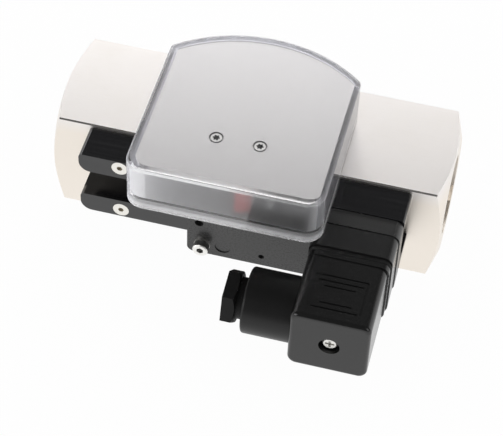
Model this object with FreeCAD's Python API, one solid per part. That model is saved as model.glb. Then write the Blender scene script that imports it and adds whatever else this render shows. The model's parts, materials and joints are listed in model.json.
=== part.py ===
import FreeCAD, Part
import math
import os

# Inline variable area flow meter. A sprung float slides in a square plated body, a pointer under a
# clear hood follows the float's magnets, and a switch contact with a square plug slides on two rails.
# Millimetres. X runs with the flow from the middle of the inlet face, Z is up, -Y is the reading side.

Vector = FreeCAD.Vector
X_AXIS = Vector(1, 0, 0)
Y_AXIS = Vector(0, 1, 0)
Z_AXIS = Vector(0, 0, 1)

# Clearances
RUN_GAP = 0.05        # radial, between pieces that turn or slide on each other
SEAT_GAP = 0.05       # between a piece and the hole it is fixed in
MOVE_GAP = 0.35       # between faces that pass each other
FACE_GAP = 0.1        # between flat faces that are screwed together and come apart

# Flow body
BODY_LENGTH = 150.0
BODY_WIDTH = 45.0
BODY_EDGE = 0.5
END_FLAT_RADIUS = 22.0
END_CONE_DEG = 18.5
PORT_RADIUS = 15.15   # minor radius of the G1 pipe thread
PORT_DEPTH = 19.0
PORT_RUNOUT = 0.8      # cone at the bottom of the thread core
BORE_RADIUS = 14.0

# Retaining rings in the bore
RING_INSET = 2.5
RING_THICKNESS = 1.2
RING_BITE = 0.9
RING_WIDTH = 2.6
RING_OPENING_DEG = 50.0
RING_EYE_RADIUS = 1.8
RING_EYE_HOLE = 0.8

# Spiders that hold the guide rod
SPIDER_LENGTH = 7.0
SPIDER_RIM = 2.0
SPOKE_COUNT = 3
SPOKE_WIDTH = 2.4
HUB_RADIUS = 4.4
HUB_NOSE = 3.3
HUB_TIP_RADIUS = 1.4
ROD_RADIUS = 2.0
ROD_SEAT = 5.5
ROD_CHAMFER = 0.4

# Metering sleeve and its seal
THROAT_WALL = 3.6
EXIT_WALL = 1.5
ORING_SECTION = 1.6
ORING_GROOVE = 2.1
ORING_FROM_INLET = 8.0

# Float
METERING_GAP = 0.4
FLOAT_STOP_GAP = 0.3
FLOAT_NOSE = 9.0
FLOAT_RIM = 4.0
FLOAT_SHOULDER = 2.0
STEM_WALL = 1.5
BUSH_WALL = 1.4
MAGNET_RINGS = 2
MAGNET_RING_LENGTH = 5.0
MAGNET_WALL = 3.0
LOCKNUT_LENGTH = 3.5
LOCKNUT_WALL = 2.2
LOCKNUT_SLOT = 1.4
SPRING_WIRE = 0.8
SPRING_ROOM = 0.9
SPRING_TURNS = 10

# Hood, plate and base of the indicator
HOOD_MIDDLE = 74.5
HOOD_WIDTH = 72.6
HOOD_DEPTH = 78.2
HOOD_HEIGHT = 20.2
HOOD_OVERHANG = 34.7
HOOD_WALL = 2.0
HOOD_ARC_RADIUS = 55.0
HOOD_FRONT_CORNER = 7.0
HOOD_REAR_CORNER = 2.4
HOOD_INNER_CORNER = 0.6
HOOD_EDGE = 1.5
BASE_THICKNESS = 2.0
BASE_GAP = 0.2
BASE_SCREW_SPACING = 48.0
BASE_SCREW_FIRST_ROW = 8.5
BASE_SCREW_ROW_PITCH = 13.0
SEAL_WIDTH = 1.8
SEAL_HEIGHT = 1.5
PLATE_THICKNESS = 1.5
PLATE_GAP = 0.3
PLATE_LEFT_ROOM = 0.6
PLATE_FRONT_ROOM = 1.6
PILLAR_SPACING = 16.1
PILLAR_FORWARD = 1.1
PILLAR_RADIUS = 2.2
PILLAR_SPIGOT_RADIUS = 1.5
DIAL_SCREW_RADIUS = 1.4
DIAL_SCREW_LENGTH = 8.0
DIAL_HEAD_RADIUS = 2.1
DIAL_HEAD_HEIGHT = 0.7
DIAL_HEAD_BEVEL = 0.15
DIAL_HEAD_SINK = 0.35
DIAL_SEAT_ROOM = 0.6
DIAL_LOBES = 6
DIAL_LOBE_RADIUS = 0.32
DIAL_LOBE_CIRCLE = 0.8
DIAL_RECESS_DEPTH = 1.4

# Pointer
PIVOT_FROM_FRONT = 24.9
PIVOT_RADIUS = 1.5
PIVOT_COLLAR_RADIUS = 2.6
PIVOT_COLLAR_HEIGHT = 1.2
HUB_LENGTH = 10.0
POINTER_HUB_RADIUS = 3.2
CLIP_RADIUS = 2.8
CLIP_THICKNESS = 0.6
CLIP_BITE = 0.4
CLIP_MOUTH = 1.8
MAGNET_ARM = 24.0
POINTER_REST_DEG = 20.0
ARM_THICKNESS = 0.8
ARM_WIDTH = 3.0
ARM_HEIGHT = 4.5
FOLLOWER_RADIUS = 3.5
FOLLOWER_HEIGHT = 3.9
FOLLOWER_RIM = 0.7
FLAG_REACH = 20.0
FLAG_WIDTH = 6.0
FLAG_HEIGHT = 10.0
FLAG_RAISE = 2.4
STOP_THICKNESS = 2.6
STOP_FOOT = 6.0
STOP_FOOT_HEIGHT = 1.6
STOP_HEIGHT = 12.5
STOP_CORNER_ROOM = 7.0
STOP_EDGE = 0.8

# Rails and their screws
RAIL_START = 15.0
RAIL_LENGTH = 122.8
RAIL_DEPTH = 14.25
RAIL_HEIGHT = 8.56
RAIL_PITCH = 21.3
RAIL_TOP_DROP = 1.4
RAIL_LIP_DEPTH = 4.2
RAIL_LIP_HEIGHT = 1.2
RAIL_LOWER_CORNER = 4.4
RAIL_UPPER_CORNER = 1.6
RAIL_SCREW_INSET = 15.8
RAIL_SCREW_OFFSET = 0.8
RAIL_SCREW_LENGTH = 20.0
BASE_SCREW_LENGTH = 8.0
SCREW_RADIUS = 1.5
FLAT_HEAD_RADIUS = 3.1
FLAT_HEAD_HEIGHT = 1.7
FLAT_HEAD_RIM = 0.15
SOCKET_FLATS = 2.0
SOCKET_DEPTH = 1.0

# Switch contact carriage
CARRIAGE_START = 57.6
CARRIAGE_LENGTH = 80.1
FLANGE_THICKNESS = 2.7
FLANGE_TOP_DROP = 2.5
FLANGE_BOTTOM_DROP = 7.5
FLANGE_CORNER = 2.5
TONGUE_INSET = 4.0
TONGUE_LENGTH = 46.0
REED_RADIUS = 1.4
REED_LENGTH = 18.0
REED_ROOM = 0.3
REED_END_ROUND = 0.8
PIN_HOLE_RADIUS = 1.65
PIN_HOLE_INSET = 4.6
PIN_HOLE_DROP = 9.0
GATE_HOLE_RADIUS = 1.1
GATE_HOLE_INSET = 28.8
GATE_HOLE_RISE = 4.8
BLIND_HOLE_DEPTH = 2.0
PAD_RADIUS = 3.0       # shallow round mark of the moulding's ejector
PAD_INSET = 13.8
PAD_RISE = 5.4
PAD_DEPTH = 0.4
CLAMP_INSET = 6.0
CLAMP_RAIL_GAP = 2.1
CLAMP_HEAD_RADIUS = 2.75
CLAMP_HEAD_HEIGHT = 3.0
CLAMP_HEAD_BEVEL = 0.4
CLAMP_SOCKET_FLATS = 2.5
CLAMP_SOCKET_DEPTH = 1.5
CLAMP_WASHER_RADIUS = 3.1
CLAMP_WASHER_THICKNESS = 0.8
CLAMP_SCREW_LENGTH = 12.0
JAW_LENGTH = 10.5
JAW_DEPTH = 9.0
JAW_EDGE = 1.0

# Connector on the carriage
BLOCK_WIDTH = 31.4
BLOCK_HEIGHT = 31.0
BLOCK_DEPTH = 7.1
CONNECTOR_DROP = 0.6
CONNECTOR_WIDTH = 30.6
CONNECTOR_DEPTH = 10.8
CONNECTOR_CORNER = 3.7
CONNECTOR_EDGE = 0.5
PIN_COUNT = 4
PIN_CIRCLE_RADIUS = 8.0
PIN_WIDTH = 4.8
PIN_THICKNESS = 1.0
PIN_REACH = 11.0
PIN_ROOT = 5.0
INSERT_NUT_RADIUS = 2.6
INSERT_NUT_LENGTH = 8.0

# Plug
PLUG_WIDTH = 29.6
PLUG_HEIGHT = 28.8
PLUG_LENGTH = 30.5
PLUG_CORNER = 3.4
PLUG_FRONT_EDGE = 1.6
PLUG_RIM_LENGTH = 2.4
PLUG_RIM_STEP = 0.3
PLUG_RIM_EDGE = 0.2
MARK_WIDTH = 0.6       # plain moulded lines on the plug's top
MARK_DEPTH = 0.35
MARK_LONG = 18.6
MARK_MIDDLE = 16.4
MARK_SHORT = 11.4
MARK_FRAME_Y = 10.5
MARK_PITCH = 2.4
MARK_SPACE = 7.5
PLUG_WALL = 2.0
PLUG_FRONT_WALL = 5.0
PLUG_GASKET_THICKNESS = 1.5
PLUG_GASKET_REACH = 0.2
PLUG_GASKET_WALL = 4.2
PLUG_GASKET_EDGE = 0.25
PLUG_INSERT_LENGTH = 12.5
PIN_SLOT_ROOM = 0.4
TERMINAL_RADIUS = 1.9
TERMINAL_HEIGHT = 2.6
TERMINAL_SINK = 1.6
TERMINAL_SLOT = 0.6
SCREW_TUBE_WALL = 1.4
SCREW_RECESS_RADIUS = 3.85
SCREW_RECESS_DEPTH = 3.4
PLUG_HEAD_RADIUS = 3.0
PLUG_HEAD_HEIGHT = 2.0
PLUG_HEAD_BEVEL = 0.7
PLUG_SCREW_ROOM = 0.4
CROSS_LENGTH = 3.4
CROSS_WIDTH = 0.9
CROSS_DEPTH = 1.1

# Cable gland on the plug's side
GLAND_FROM_FRONT = 13.0
BOSS_RADIUS = 12.1
BOSS_LENGTH = 17.9
BOSS_EDGE = 1.0
GLAND_BORE_RADIUS = 8.2
CABLE_RADIUS = 4.5
CABLE_ROOM = 0.6
NUT_FLATS = 18.0
NUT_LENGTH = 4.8
NUT_EDGE = 1.0
NUT_NECK = 2.8
NUT_NECK_RADIUS = 7.6
NUT_TURN_DEG = 16.0    # how far the nut was tightened past a corner at the front
NUT_SPIGOT = 9.0
GLAND_WASHER_THICKNESS = 0.8
GLAND_SEAL_LENGTH = 4.0

# Places worked out from the sizes above
top_z = BODY_WIDTH / 2
front_y = -BODY_WIDTH / 2

ring_x = PORT_DEPTH + RING_INSET
spider_x = ring_x + RING_THICKNESS
sleeve_x = spider_x + SPIDER_LENGTH
sleeve_end_x = BODY_LENGTH - sleeve_x
sleeve_radius = BORE_RADIUS - SEAT_GAP
throat_radius = sleeve_radius - THROAT_WALL
float_radius = throat_radius - METERING_GAP
bush_bore_radius = ROD_RADIUS + RUN_GAP
bush_radius = bush_bore_radius + BUSH_WALL
stem_bore_radius = bush_radius + SEAT_GAP
stem_radius = stem_bore_radius + STEM_WALL
magnet_bore_radius = stem_radius + SEAT_GAP

hood_front_y = front_y - HOOD_OVERHANG
hood_back_y = hood_front_y + HOOD_DEPTH
hood_arc_y = hood_back_y - HOOD_ARC_RADIUS
hood_top_z = top_z + HOOD_HEIGHT
base_top_z = top_z + BASE_THICKNESS
plate_top_z = hood_top_z - HOOD_WALL - PLATE_GAP
plate_z = plate_top_z - PLATE_THICKNESS
pivot = Vector(HOOD_MIDDLE, hood_front_y + PIVOT_FROM_FRONT, 0)
hub_z = base_top_z + PIVOT_COLLAR_HEIGHT + MOVE_GAP
clip_z = hub_z + HUB_LENGTH + MOVE_GAP
arm_z = base_top_z + ARM_HEIGHT
flag_z = arm_z + FLAG_RAISE
flag_sine = math.sin(math.radians(POINTER_REST_DEG))
flag_cosine = math.cos(math.radians(POINTER_REST_DEG))
stop_x = pivot.x + FLAG_REACH * flag_sine + FLAG_WIDTH / 2 * flag_cosine + MOVE_GAP
stop_end_x = HOOD_MIDDLE + HOOD_WIDTH / 2 - STOP_CORNER_ROOM
stop_y = hood_front_y + HOOD_WALL + 2 * BASE_GAP + SEAL_WIDTH

magnet_x = HOOD_MIDDLE - MAGNET_ARM * math.sin(math.radians(POINTER_REST_DEG))
magnets_x = magnet_x - MAGNET_RINGS * MAGNET_RING_LENGTH / 2
float_x = sleeve_x + FLOAT_STOP_GAP
locknut_x = magnets_x + MAGNET_RINGS * MAGNET_RING_LENGTH
float_end_x = locknut_x + LOCKNUT_LENGTH

rail_front_y = front_y - RAIL_DEPTH
upper_rail_z = top_z - RAIL_TOP_DROP - RAIL_HEIGHT
lower_rail_z = upper_rail_z - RAIL_PITCH
slot_low_z = lower_rail_z + RAIL_HEIGHT
slot_high_z = upper_rail_z
rail_mid_z = (slot_low_z + slot_high_z) / 2

flange_back_y = rail_front_y - MOVE_GAP
flange_front_y = flange_back_y - FLANGE_THICKNESS
flange_top_z = upper_rail_z + RAIL_HEIGHT - FLANGE_TOP_DROP
flange_bottom_z = lower_rail_z - FLANGE_BOTTOM_DROP
carriage_end_x = CARRIAGE_START + CARRIAGE_LENGTH
reed_x = CARRIAGE_START + TONGUE_INSET
clamp_x = CARRIAGE_START + CLAMP_INSET
clamp_z = lower_rail_z - CLAMP_RAIL_GAP

connector_x = carriage_end_x - BLOCK_WIDTH / 2
connector_z = rail_mid_z - CONNECTOR_DROP
block_front_y = flange_back_y - BLOCK_DEPTH
connector_front_y = block_front_y - CONNECTOR_DEPTH
gasket_y = connector_front_y - FACE_GAP
plug_back_y = gasket_y - PLUG_GASKET_THICKNESS
plug_front_y = plug_back_y - PLUG_LENGTH
insert_front_y = plug_back_y - PLUG_INSERT_LENGTH
plug_inner_y = plug_front_y + PLUG_FRONT_WALL
screw_seat_y = plug_front_y + SCREW_RECESS_DEPTH
plug_left_x = connector_x - PLUG_WIDTH / 2
boss_x = plug_left_x - BOSS_LENGTH
gland_y = plug_front_y + GLAND_FROM_FRONT
nut_x = boss_x - NUT_NECK - NUT_LENGTH
spigot_end_x = boss_x + NUT_SPIGOT
seal_x = spigot_end_x + FACE_GAP + GLAND_WASHER_THICKNESS


# Shared shapes

def block(x0, x1, y0, y1, z0, z1):
    """Box between two corners."""
    return Part.makeBox(x1 - x0, y1 - y0, z1 - z0, Vector(x0, y0, z0))


def edges_along(solid, axis):
    """Straight edges of a solid that run along an axis."""
    straight = [edge for edge in solid.Edges if isinstance(edge.Curve, Part.Line)]
    return [edge for edge in straight if abs(edge.Curve.Direction.dot(axis)) > 0.999]


def edges_at(solid, axis, level):
    """Edges of a solid that lie wholly at one level along an axis."""
    ends = [(edge, [vertex.Point.dot(axis) for vertex in edge.Vertexes]) for edge in solid.Edges]
    return [edge for edge, levels in ends if all(abs(value - level) < 1e-6 for value in levels)]


def aligned(solid, base, axis):
    """A solid drawn up from the origin along Z, set at base along another axis."""
    solid.Placement = FreeCAD.Placement(base, FreeCAD.Rotation(Z_AXIS, axis))
    return solid


def turned(profile, base, axis):
    """Solid turned from (height, radius) pairs along an axis from base."""
    points = [Vector(radius, 0, height) for height, radius in profile]
    outline = Part.makePolygon(points + points[:1])
    solid = Part.Face(outline).revolve(Vector(), Z_AXIS, 360)
    if solid.Volume < 0:
        solid.reverse()
    return aligned(solid, base, axis)


def tube(outer, inner, length, base, axis):
    """Plain ring or tube."""
    return turned([(0, inner), (0, outer), (length, outer), (length, inner)], base, axis)


def hexagon(flats, length, base, axis):
    """Hexagon prism with a corner up before it is set along its axis."""
    radius = flats / math.sqrt(3)
    angles = [math.radians(60 * step) for step in range(7)]
    points = [Vector(radius * math.cos(angle), radius * math.sin(angle), 0) for angle in angles]
    prism = Part.Face(Part.makePolygon(points)).extrude(Vector(0, 0, length))
    return aligned(prism, base, axis)


def rounded_bar(width, height, corner, y_back, y_front):
    """Bar along Y with round corners, centred on the connector."""
    bar = block(
        connector_x - width / 2, connector_x + width / 2, y_front, y_back,
        connector_z - height / 2, connector_z + height / 2,
    )
    return bar.makeFillet(corner, edges_along(bar, Y_AXIS))


def flat_head_screw(top, axis, length, room):
    """Countersunk screw, or with some room its hole, from the middle of its head along an axis."""
    head = FLAT_HEAD_RADIUS + room
    shank = SCREW_RADIUS + room
    profile = [
        (0, 0), (0, head), (FLAT_HEAD_RIM, head),
        (FLAT_HEAD_RIM + FLAT_HEAD_HEIGHT, shank), (length + room, shank), (length + room, 0),
    ]
    return turned(profile, top, axis)


def socketed_flat_heads(tops, axis, length):
    """Group of countersunk screws with hexagon sockets."""
    screws = []
    for top in tops:
        screw = flat_head_screw(top, axis, length, 0)
        screws.append(screw.cut(hexagon(SOCKET_FLATS, SOCKET_DEPTH, top, axis)))
    return Part.makeCompound(screws)


# Flow body and what is fixed in its bore

def rail_screw_tops():
    """Middles of the rail screws' heads, set just under the rails' front faces."""
    columns = (RAIL_START + RAIL_SCREW_INSET, RAIL_START + RAIL_LENGTH - RAIL_SCREW_INSET)
    half = RAIL_HEIGHT / 2
    rows = (upper_rail_z + half + RAIL_SCREW_OFFSET, lower_rail_z + half - RAIL_SCREW_OFFSET)
    return [Vector(x, rail_front_y + SEAT_GAP, z) for x in columns for z in rows]


def base_screw_tops():
    """Middles of the base screws' heads, set just under the base's top."""
    first_y = front_y + BASE_SCREW_FIRST_ROW
    rows = (first_y, first_y + BASE_SCREW_ROW_PITCH)
    columns = (HOOD_MIDDLE - BASE_SCREW_SPACING / 2, HOOD_MIDDLE + BASE_SCREW_SPACING / 2)
    return [Vector(x, y, base_top_z - SEAT_GAP) for x in columns for y in rows]


def port_core(mouth, inward):
    """Space of a pipe thread's core, with the cone that the drill leaves at its bottom."""
    return turned(
        [(0, 0), (0, PORT_RADIUS), (PORT_DEPTH, PORT_RADIUS), (PORT_DEPTH + PORT_RUNOUT, BORE_RADIUS),
         (PORT_DEPTH + PORT_RUNOUT, 0)],
        mouth, inward,
    )


def make_body_block():
    """Square bar with coned ends, bored through, with a pipe thread core in each end."""
    bar = block(0, BODY_LENGTH, front_y, -front_y, -top_z, top_z)
    bar = bar.makeChamfer(BODY_EDGE, edges_along(bar, X_AXIS))
    reach = top_z * math.sqrt(2)
    cone = (reach - END_FLAT_RADIUS) * math.tan(math.radians(END_CONE_DEG))
    envelope = turned(
        [(0, 0), (0, END_FLAT_RADIUS), (cone, reach), (BODY_LENGTH - cone, reach),
         (BODY_LENGTH, END_FLAT_RADIUS), (BODY_LENGTH, 0)],
        Vector(), X_AXIS,
    )
    groove = BORE_RADIUS + RING_BITE
    far_ring_x = BODY_LENGTH - ring_x - RING_THICKNESS
    cuts = [
        Part.makeCylinder(BORE_RADIUS, BODY_LENGTH, Vector(), X_AXIS),
        port_core(Vector(), X_AXIS),
        port_core(Vector(BODY_LENGTH, 0, 0), -X_AXIS),
        Part.makeCylinder(groove, RING_THICKNESS, Vector(ring_x, 0, 0), X_AXIS),
        Part.makeCylinder(groove, RING_THICKNESS, Vector(far_ring_x, 0, 0), X_AXIS),
    ]
    cuts += [flat_head_screw(top, Y_AXIS, RAIL_SCREW_LENGTH, SEAT_GAP) for top in rail_screw_tops()]
    cuts += [flat_head_screw(top, -Z_AXIS, BASE_SCREW_LENGTH, SEAT_GAP) for top in base_screw_tops()]
    return bar.common(envelope).cut(cuts)


def make_spider(rod_side_x, outward):
    """Ring with spokes and a pointed hub that holds one end of the guide rod."""
    base = Vector(rod_side_x, 0, 0)
    rim_bore = sleeve_radius - SPIDER_RIM
    rim = tube(sleeve_radius, rim_bore, SPIDER_LENGTH, base, outward)
    nose_end = SPIDER_LENGTH + HUB_NOSE
    hub = turned(
        [(0, 0), (0, HUB_RADIUS), (SPIDER_LENGTH, HUB_RADIUS), (nose_end, HUB_TIP_RADIUS), (nose_end, 0)],
        base, outward,
    )
    spoke_top = rim_bore + SPIDER_RIM / 2
    first, last = sorted((rod_side_x, rod_side_x + outward.x * SPIDER_LENGTH))
    spokes = []
    for step in range(SPOKE_COUNT):
        spoke = block(first, last, -SPOKE_WIDTH / 2, SPOKE_WIDTH / 2, ROD_RADIUS, spoke_top)
        spoke.rotate(Vector(), X_AXIS, 360 / SPOKE_COUNT * step)
        spokes.append(spoke)
    rod_hole = Part.makeCylinder(ROD_RADIUS + SEAT_GAP, ROD_SEAT + SEAT_GAP, base, outward)
    return hub.fuse([rim] + spokes).cut(rod_hole).removeSplitter()


def make_inlet_spider():
    """Spider at the inlet, nose to the flow."""
    return make_spider(sleeve_x, -X_AXIS)


def make_outlet_spider():
    """Spider at the outlet, which also seats the spring."""
    return make_spider(sleeve_end_x, X_AXIS)


def make_guide_rod():
    """Rod along the bore, held in both hubs, with its ends chamfered."""
    length = sleeve_end_x - sleeve_x + 2 * ROD_SEAT
    rod = Part.makeCylinder(ROD_RADIUS, length, Vector(sleeve_x - ROD_SEAT, 0, 0), X_AXIS)
    ends = [edge for edge in rod.Edges if isinstance(edge.Curve, Part.Circle)]
    return rod.makeChamfer(ROD_CHAMFER, ends)


def oring_groove():
    """Start, length and bottom radius of the seal's groove on the sleeve."""
    return sleeve_x + ORING_FROM_INLET, ORING_GROOVE, sleeve_radius - ORING_SECTION


def make_metering_sleeve():
    """Sleeve whose bore widens along the float's travel, with a seal groove outside."""
    length = sleeve_end_x - sleeve_x
    wide = sleeve_radius - EXIT_WALL
    sleeve = turned(
        [(0, throat_radius), (0, sleeve_radius), (length, sleeve_radius), (length, wide)],
        Vector(sleeve_x, 0, 0), X_AXIS,
    )
    start, width, bottom = oring_groove()
    return sleeve.cut(tube(BORE_RADIUS, bottom, width, Vector(start, 0, 0), X_AXIS))


def make_sleeve_oring():
    """Seal ring in the sleeve's groove."""
    start, width, bottom = oring_groove()
    section = (ORING_SECTION - SEAT_GAP) / 2
    middle = bottom + SEAT_GAP + section
    return Part.makeTorus(middle, section, Vector(start + width / 2, 0, 0), X_AXIS)


def make_retaining_rings():
    """Two inside retaining rings, open at the top, with an eye at each end for the pliers."""
    outer = BORE_RADIUS + RING_BITE - SEAT_GAP
    inner = outer - RING_WIDTH
    rings = []
    for start in (ring_x, BODY_LENGTH - ring_x - RING_THICKNESS):
        base = Vector(start, 0, 0)
        ring = tube(outer, inner, RING_THICKNESS, base, X_AXIS)
        half = math.radians(RING_OPENING_DEG / 2)
        gap_y = outer * math.sin(half)
        ring = ring.cut(block(start, start + RING_THICKNESS, -gap_y, gap_y, 0, outer))
        eye_reach = outer - RING_EYE_RADIUS
        eye_angle = half + math.asin(RING_EYE_RADIUS / eye_reach)
        eyes = []
        holes = []
        for side in (-1, 1):
            middle = base + Vector(0, side * math.sin(eye_angle), math.cos(eye_angle)) * eye_reach
            eyes.append(Part.makeCylinder(RING_EYE_RADIUS, RING_THICKNESS, middle, X_AXIS))
            holes.append(Part.makeCylinder(RING_EYE_HOLE, RING_THICKNESS, middle, X_AXIS))
        rings.append(ring.fuse(eyes).cut(holes).removeSplitter())
    return Part.makeCompound(rings)


def make_return_spring():
    """Compression spring over the rod between the float and the outlet hub."""
    radius = ROD_RADIUS + SPRING_ROOM + SPRING_WIRE / 2
    length = sleeve_end_x - float_end_x - 2 * FACE_GAP - SPRING_WIRE
    path = Part.makeHelix(length / SPRING_TURNS, length, radius)
    section = Part.Wire(Part.makeCircle(SPRING_WIRE / 2, Vector(radius, 0, 0), Y_AXIS))
    spring = Part.Wire(path).makePipeShell([section], True, True)
    return aligned(spring, Vector(float_end_x + FACE_GAP + SPRING_WIRE / 2, 0, 0), X_AXIS)


# Float

def make_float_body():
    """Coned metering head on a hollow stem, with a shoulder for the ring magnets."""
    rim_x = FLOAT_NOSE
    stem_x = FLOAT_NOSE + FLOAT_RIM
    shoulder_end = magnets_x - float_x
    shoulder_radius = stem_radius + MAGNET_WALL / 2
    end = float_end_x - float_x
    profile = [
        (0, stem_bore_radius), (0, stem_radius), (rim_x, float_radius), (stem_x, float_radius),
        (stem_x, stem_radius), (shoulder_end - FLOAT_SHOULDER, stem_radius),
        (shoulder_end - FLOAT_SHOULDER, shoulder_radius), (shoulder_end, shoulder_radius),
        (shoulder_end, stem_radius), (end, stem_radius), (end, stem_bore_radius),
    ]
    return turned(profile, Vector(float_x, 0, 0), X_AXIS)


def make_float_bush():
    """Plain bearing bush that runs on the guide rod."""
    return tube(bush_radius, bush_bore_radius, float_end_x - float_x, Vector(float_x, 0, 0), X_AXIS)


def make_float_magnets():
    """Ring magnets side by side on the stem."""
    outer = magnet_bore_radius + MAGNET_WALL
    rings = []
    for step in range(MAGNET_RINGS):
        base = Vector(magnets_x + step * MAGNET_RING_LENGTH, 0, 0)
        rings.append(tube(outer, magnet_bore_radius, MAGNET_RING_LENGTH, base, X_AXIS))
    return Part.makeCompound(rings)


def make_float_locknut():
    """Slotted ring nut that holds the magnets on the stem."""
    outer = magnet_bore_radius + LOCKNUT_WALL
    base = Vector(locknut_x, 0, 0)
    nut = tube(outer, magnet_bore_radius, LOCKNUT_LENGTH, base, X_AXIS)
    half = LOCKNUT_SLOT / 2
    slot = block(float_end_x - LOCKNUT_SLOT, float_end_x, -half, half, -outer, outer)
    return nut.cut(slot)


# Indicator under the hood

def hood_prism(inset, z0, z1):
    """Upright prism of the hood's outline, moved inwards by an inset."""
    half = HOOD_WIDTH / 2 - inset
    radius = HOOD_ARC_RADIUS - inset
    front = hood_front_y + inset
    side_end = hood_arc_y + math.sqrt(radius ** 2 - half ** 2)
    left_front = Vector(HOOD_MIDDLE - half, front, z0)
    right_front = Vector(HOOD_MIDDLE + half, front, z0)
    right_back = Vector(HOOD_MIDDLE + half, side_end, z0)
    left_back = Vector(HOOD_MIDDLE - half, side_end, z0)
    apex = Vector(HOOD_MIDDLE, hood_arc_y + radius, z0)
    outline = Part.Wire([
        Part.LineSegment(left_front, right_front).toShape(),
        Part.LineSegment(right_front, right_back).toShape(),
        Part.Arc(right_back, apex, left_back).toShape(),
        Part.LineSegment(left_back, left_front).toShape(),
    ])
    prism = Part.Face(outline).extrude(Vector(0, 0, z1 - z0))
    upright = edges_along(prism, Z_AXIS)
    front_edges = [edge for edge in upright if abs(edge.CenterOfMass.y - front) < 1e-6]
    prism = prism.makeFillet(max(HOOD_FRONT_CORNER - inset, HOOD_INNER_CORNER), front_edges)
    upright = edges_along(prism, Z_AXIS)
    rear_edges = [edge for edge in upright if abs(edge.CenterOfMass.y - side_end) < 1e-6]
    return prism.makeFillet(max(HOOD_REAR_CORNER - inset, HOOD_INNER_CORNER), rear_edges)


def make_hood():
    """Clear cover open at the bottom, with its top edge rounded."""
    outside = hood_prism(0, top_z, hood_top_z)
    outside = outside.makeFillet(HOOD_EDGE, edges_at(outside, Z_AXIS, hood_top_z))
    return outside.cut(hood_prism(HOOD_WALL, top_z, hood_top_z - HOOD_WALL))


def make_hood_seal():
    """Flat seal along the hood's wall, on the rim of the base."""
    outer = hood_prism(HOOD_WALL + SEAT_GAP, base_top_z, base_top_z + SEAL_HEIGHT)
    inner = hood_prism(HOOD_WALL + SEAL_WIDTH, base_top_z, base_top_z + SEAL_HEIGHT)
    return outer.cut(inner)


def make_pointer_stop():
    """Dark moulded stop behind the hood's front wall, where the pointer's flag rests."""
    upright = block(
        stop_x, stop_end_x, stop_y, stop_y + STOP_THICKNESS, base_top_z, base_top_z + STOP_HEIGHT,
    )
    upright = upright.makeFillet(STOP_EDGE, edges_along(upright, Z_AXIS))
    foot = block(
        stop_x + STOP_FOOT, stop_end_x - STOP_FOOT, stop_y + STOP_EDGE, stop_y + STOP_THICKNESS + STOP_FOOT,
        base_top_z, base_top_z + STOP_FOOT_HEIGHT,
    )
    return upright.fuse(foot).removeSplitter()


def pillar_places():
    """Feet of the two pillars, one on each side of the pointer's shaft and a little before it."""
    reach = X_AXIS * (PILLAR_SPACING / 2)
    foot = Vector(pivot.x, pivot.y - PILLAR_FORWARD, base_top_z)
    return [foot - reach, foot + reach]


def make_indicator_base():
    """Base plate on the body's top that carries the hood, the pillars and the shaft."""
    base = hood_prism(HOOD_WALL + BASE_GAP, top_z, base_top_z)
    cuts = [flat_head_screw(top, -Z_AXIS, BASE_SCREW_LENGTH, SEAT_GAP) for top in base_screw_tops()]
    foot = PILLAR_SPIGOT_RADIUS + SEAT_GAP
    cuts += [Part.makeCylinder(foot, BASE_THICKNESS, place, -Z_AXIS) for place in pillar_places()]
    shaft_foot = Vector(pivot.x, pivot.y, base_top_z)
    cuts.append(Part.makeCylinder(PIVOT_RADIUS + SEAT_GAP, BASE_THICKNESS, shaft_foot, -Z_AXIS))
    return base.cut(cuts)


def make_base_screws():
    """Screws that hold the base on the body."""
    return socketed_flat_heads(base_screw_tops(), -Z_AXIS, BASE_SCREW_LENGTH)


def make_plate_pillars():
    """Two round pillars between base and plate, tapped at the top."""
    height = plate_z - base_top_z
    hole = DIAL_SCREW_RADIUS + SEAT_GAP
    depth = DIAL_SCREW_LENGTH
    pillars = []
    for place in pillar_places():
        profile = [
            (-BASE_THICKNESS, 0), (-BASE_THICKNESS, PILLAR_SPIGOT_RADIUS), (0, PILLAR_SPIGOT_RADIUS),
            (0, PILLAR_RADIUS), (height, PILLAR_RADIUS), (height, hole), (height - depth, hole),
            (height - depth, 0),
        ]
        pillars.append(turned(profile, place, Z_AXIS))
    return Part.makeCompound(pillars)


def make_dial_plate():
    """Bare plate close under the hood's top, set back from its front, with seats for two screws."""
    plate = hood_prism(HOOD_WALL + PLATE_GAP, plate_z, plate_top_z)
    plate = plate.common(plate.translated(Vector(PLATE_LEFT_ROOM, PLATE_FRONT_ROOM, 0)))
    seat_depth = DIAL_HEAD_HEIGHT + DIAL_HEAD_SINK
    cuts = []
    for place in pillar_places():
        top = Vector(place.x, place.y, plate_top_z)
        cuts.append(Part.makeCylinder(DIAL_HEAD_RADIUS + DIAL_SEAT_ROOM, seat_depth, top, -Z_AXIS))
        cuts.append(Part.makeCylinder(DIAL_SCREW_RADIUS + SEAT_GAP, PLATE_THICKNESS, top, -Z_AXIS))
    return plate.cut(cuts)


def lobed_recess(floor):
    """Core and lobes of a dial screw's drive recess, standing on its floor."""
    shapes = [Part.makeCylinder(DIAL_LOBE_CIRCLE, DIAL_RECESS_DEPTH, floor, Z_AXIS)]
    for step in range(DIAL_LOBES):
        angle = math.radians(360 / DIAL_LOBES * step)
        offset = Vector(math.cos(angle), math.sin(angle), 0) * DIAL_LOBE_CIRCLE
        shapes.append(Part.makeCylinder(DIAL_LOBE_RADIUS, DIAL_RECESS_DEPTH, floor + offset, Z_AXIS))
    return shapes


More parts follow.
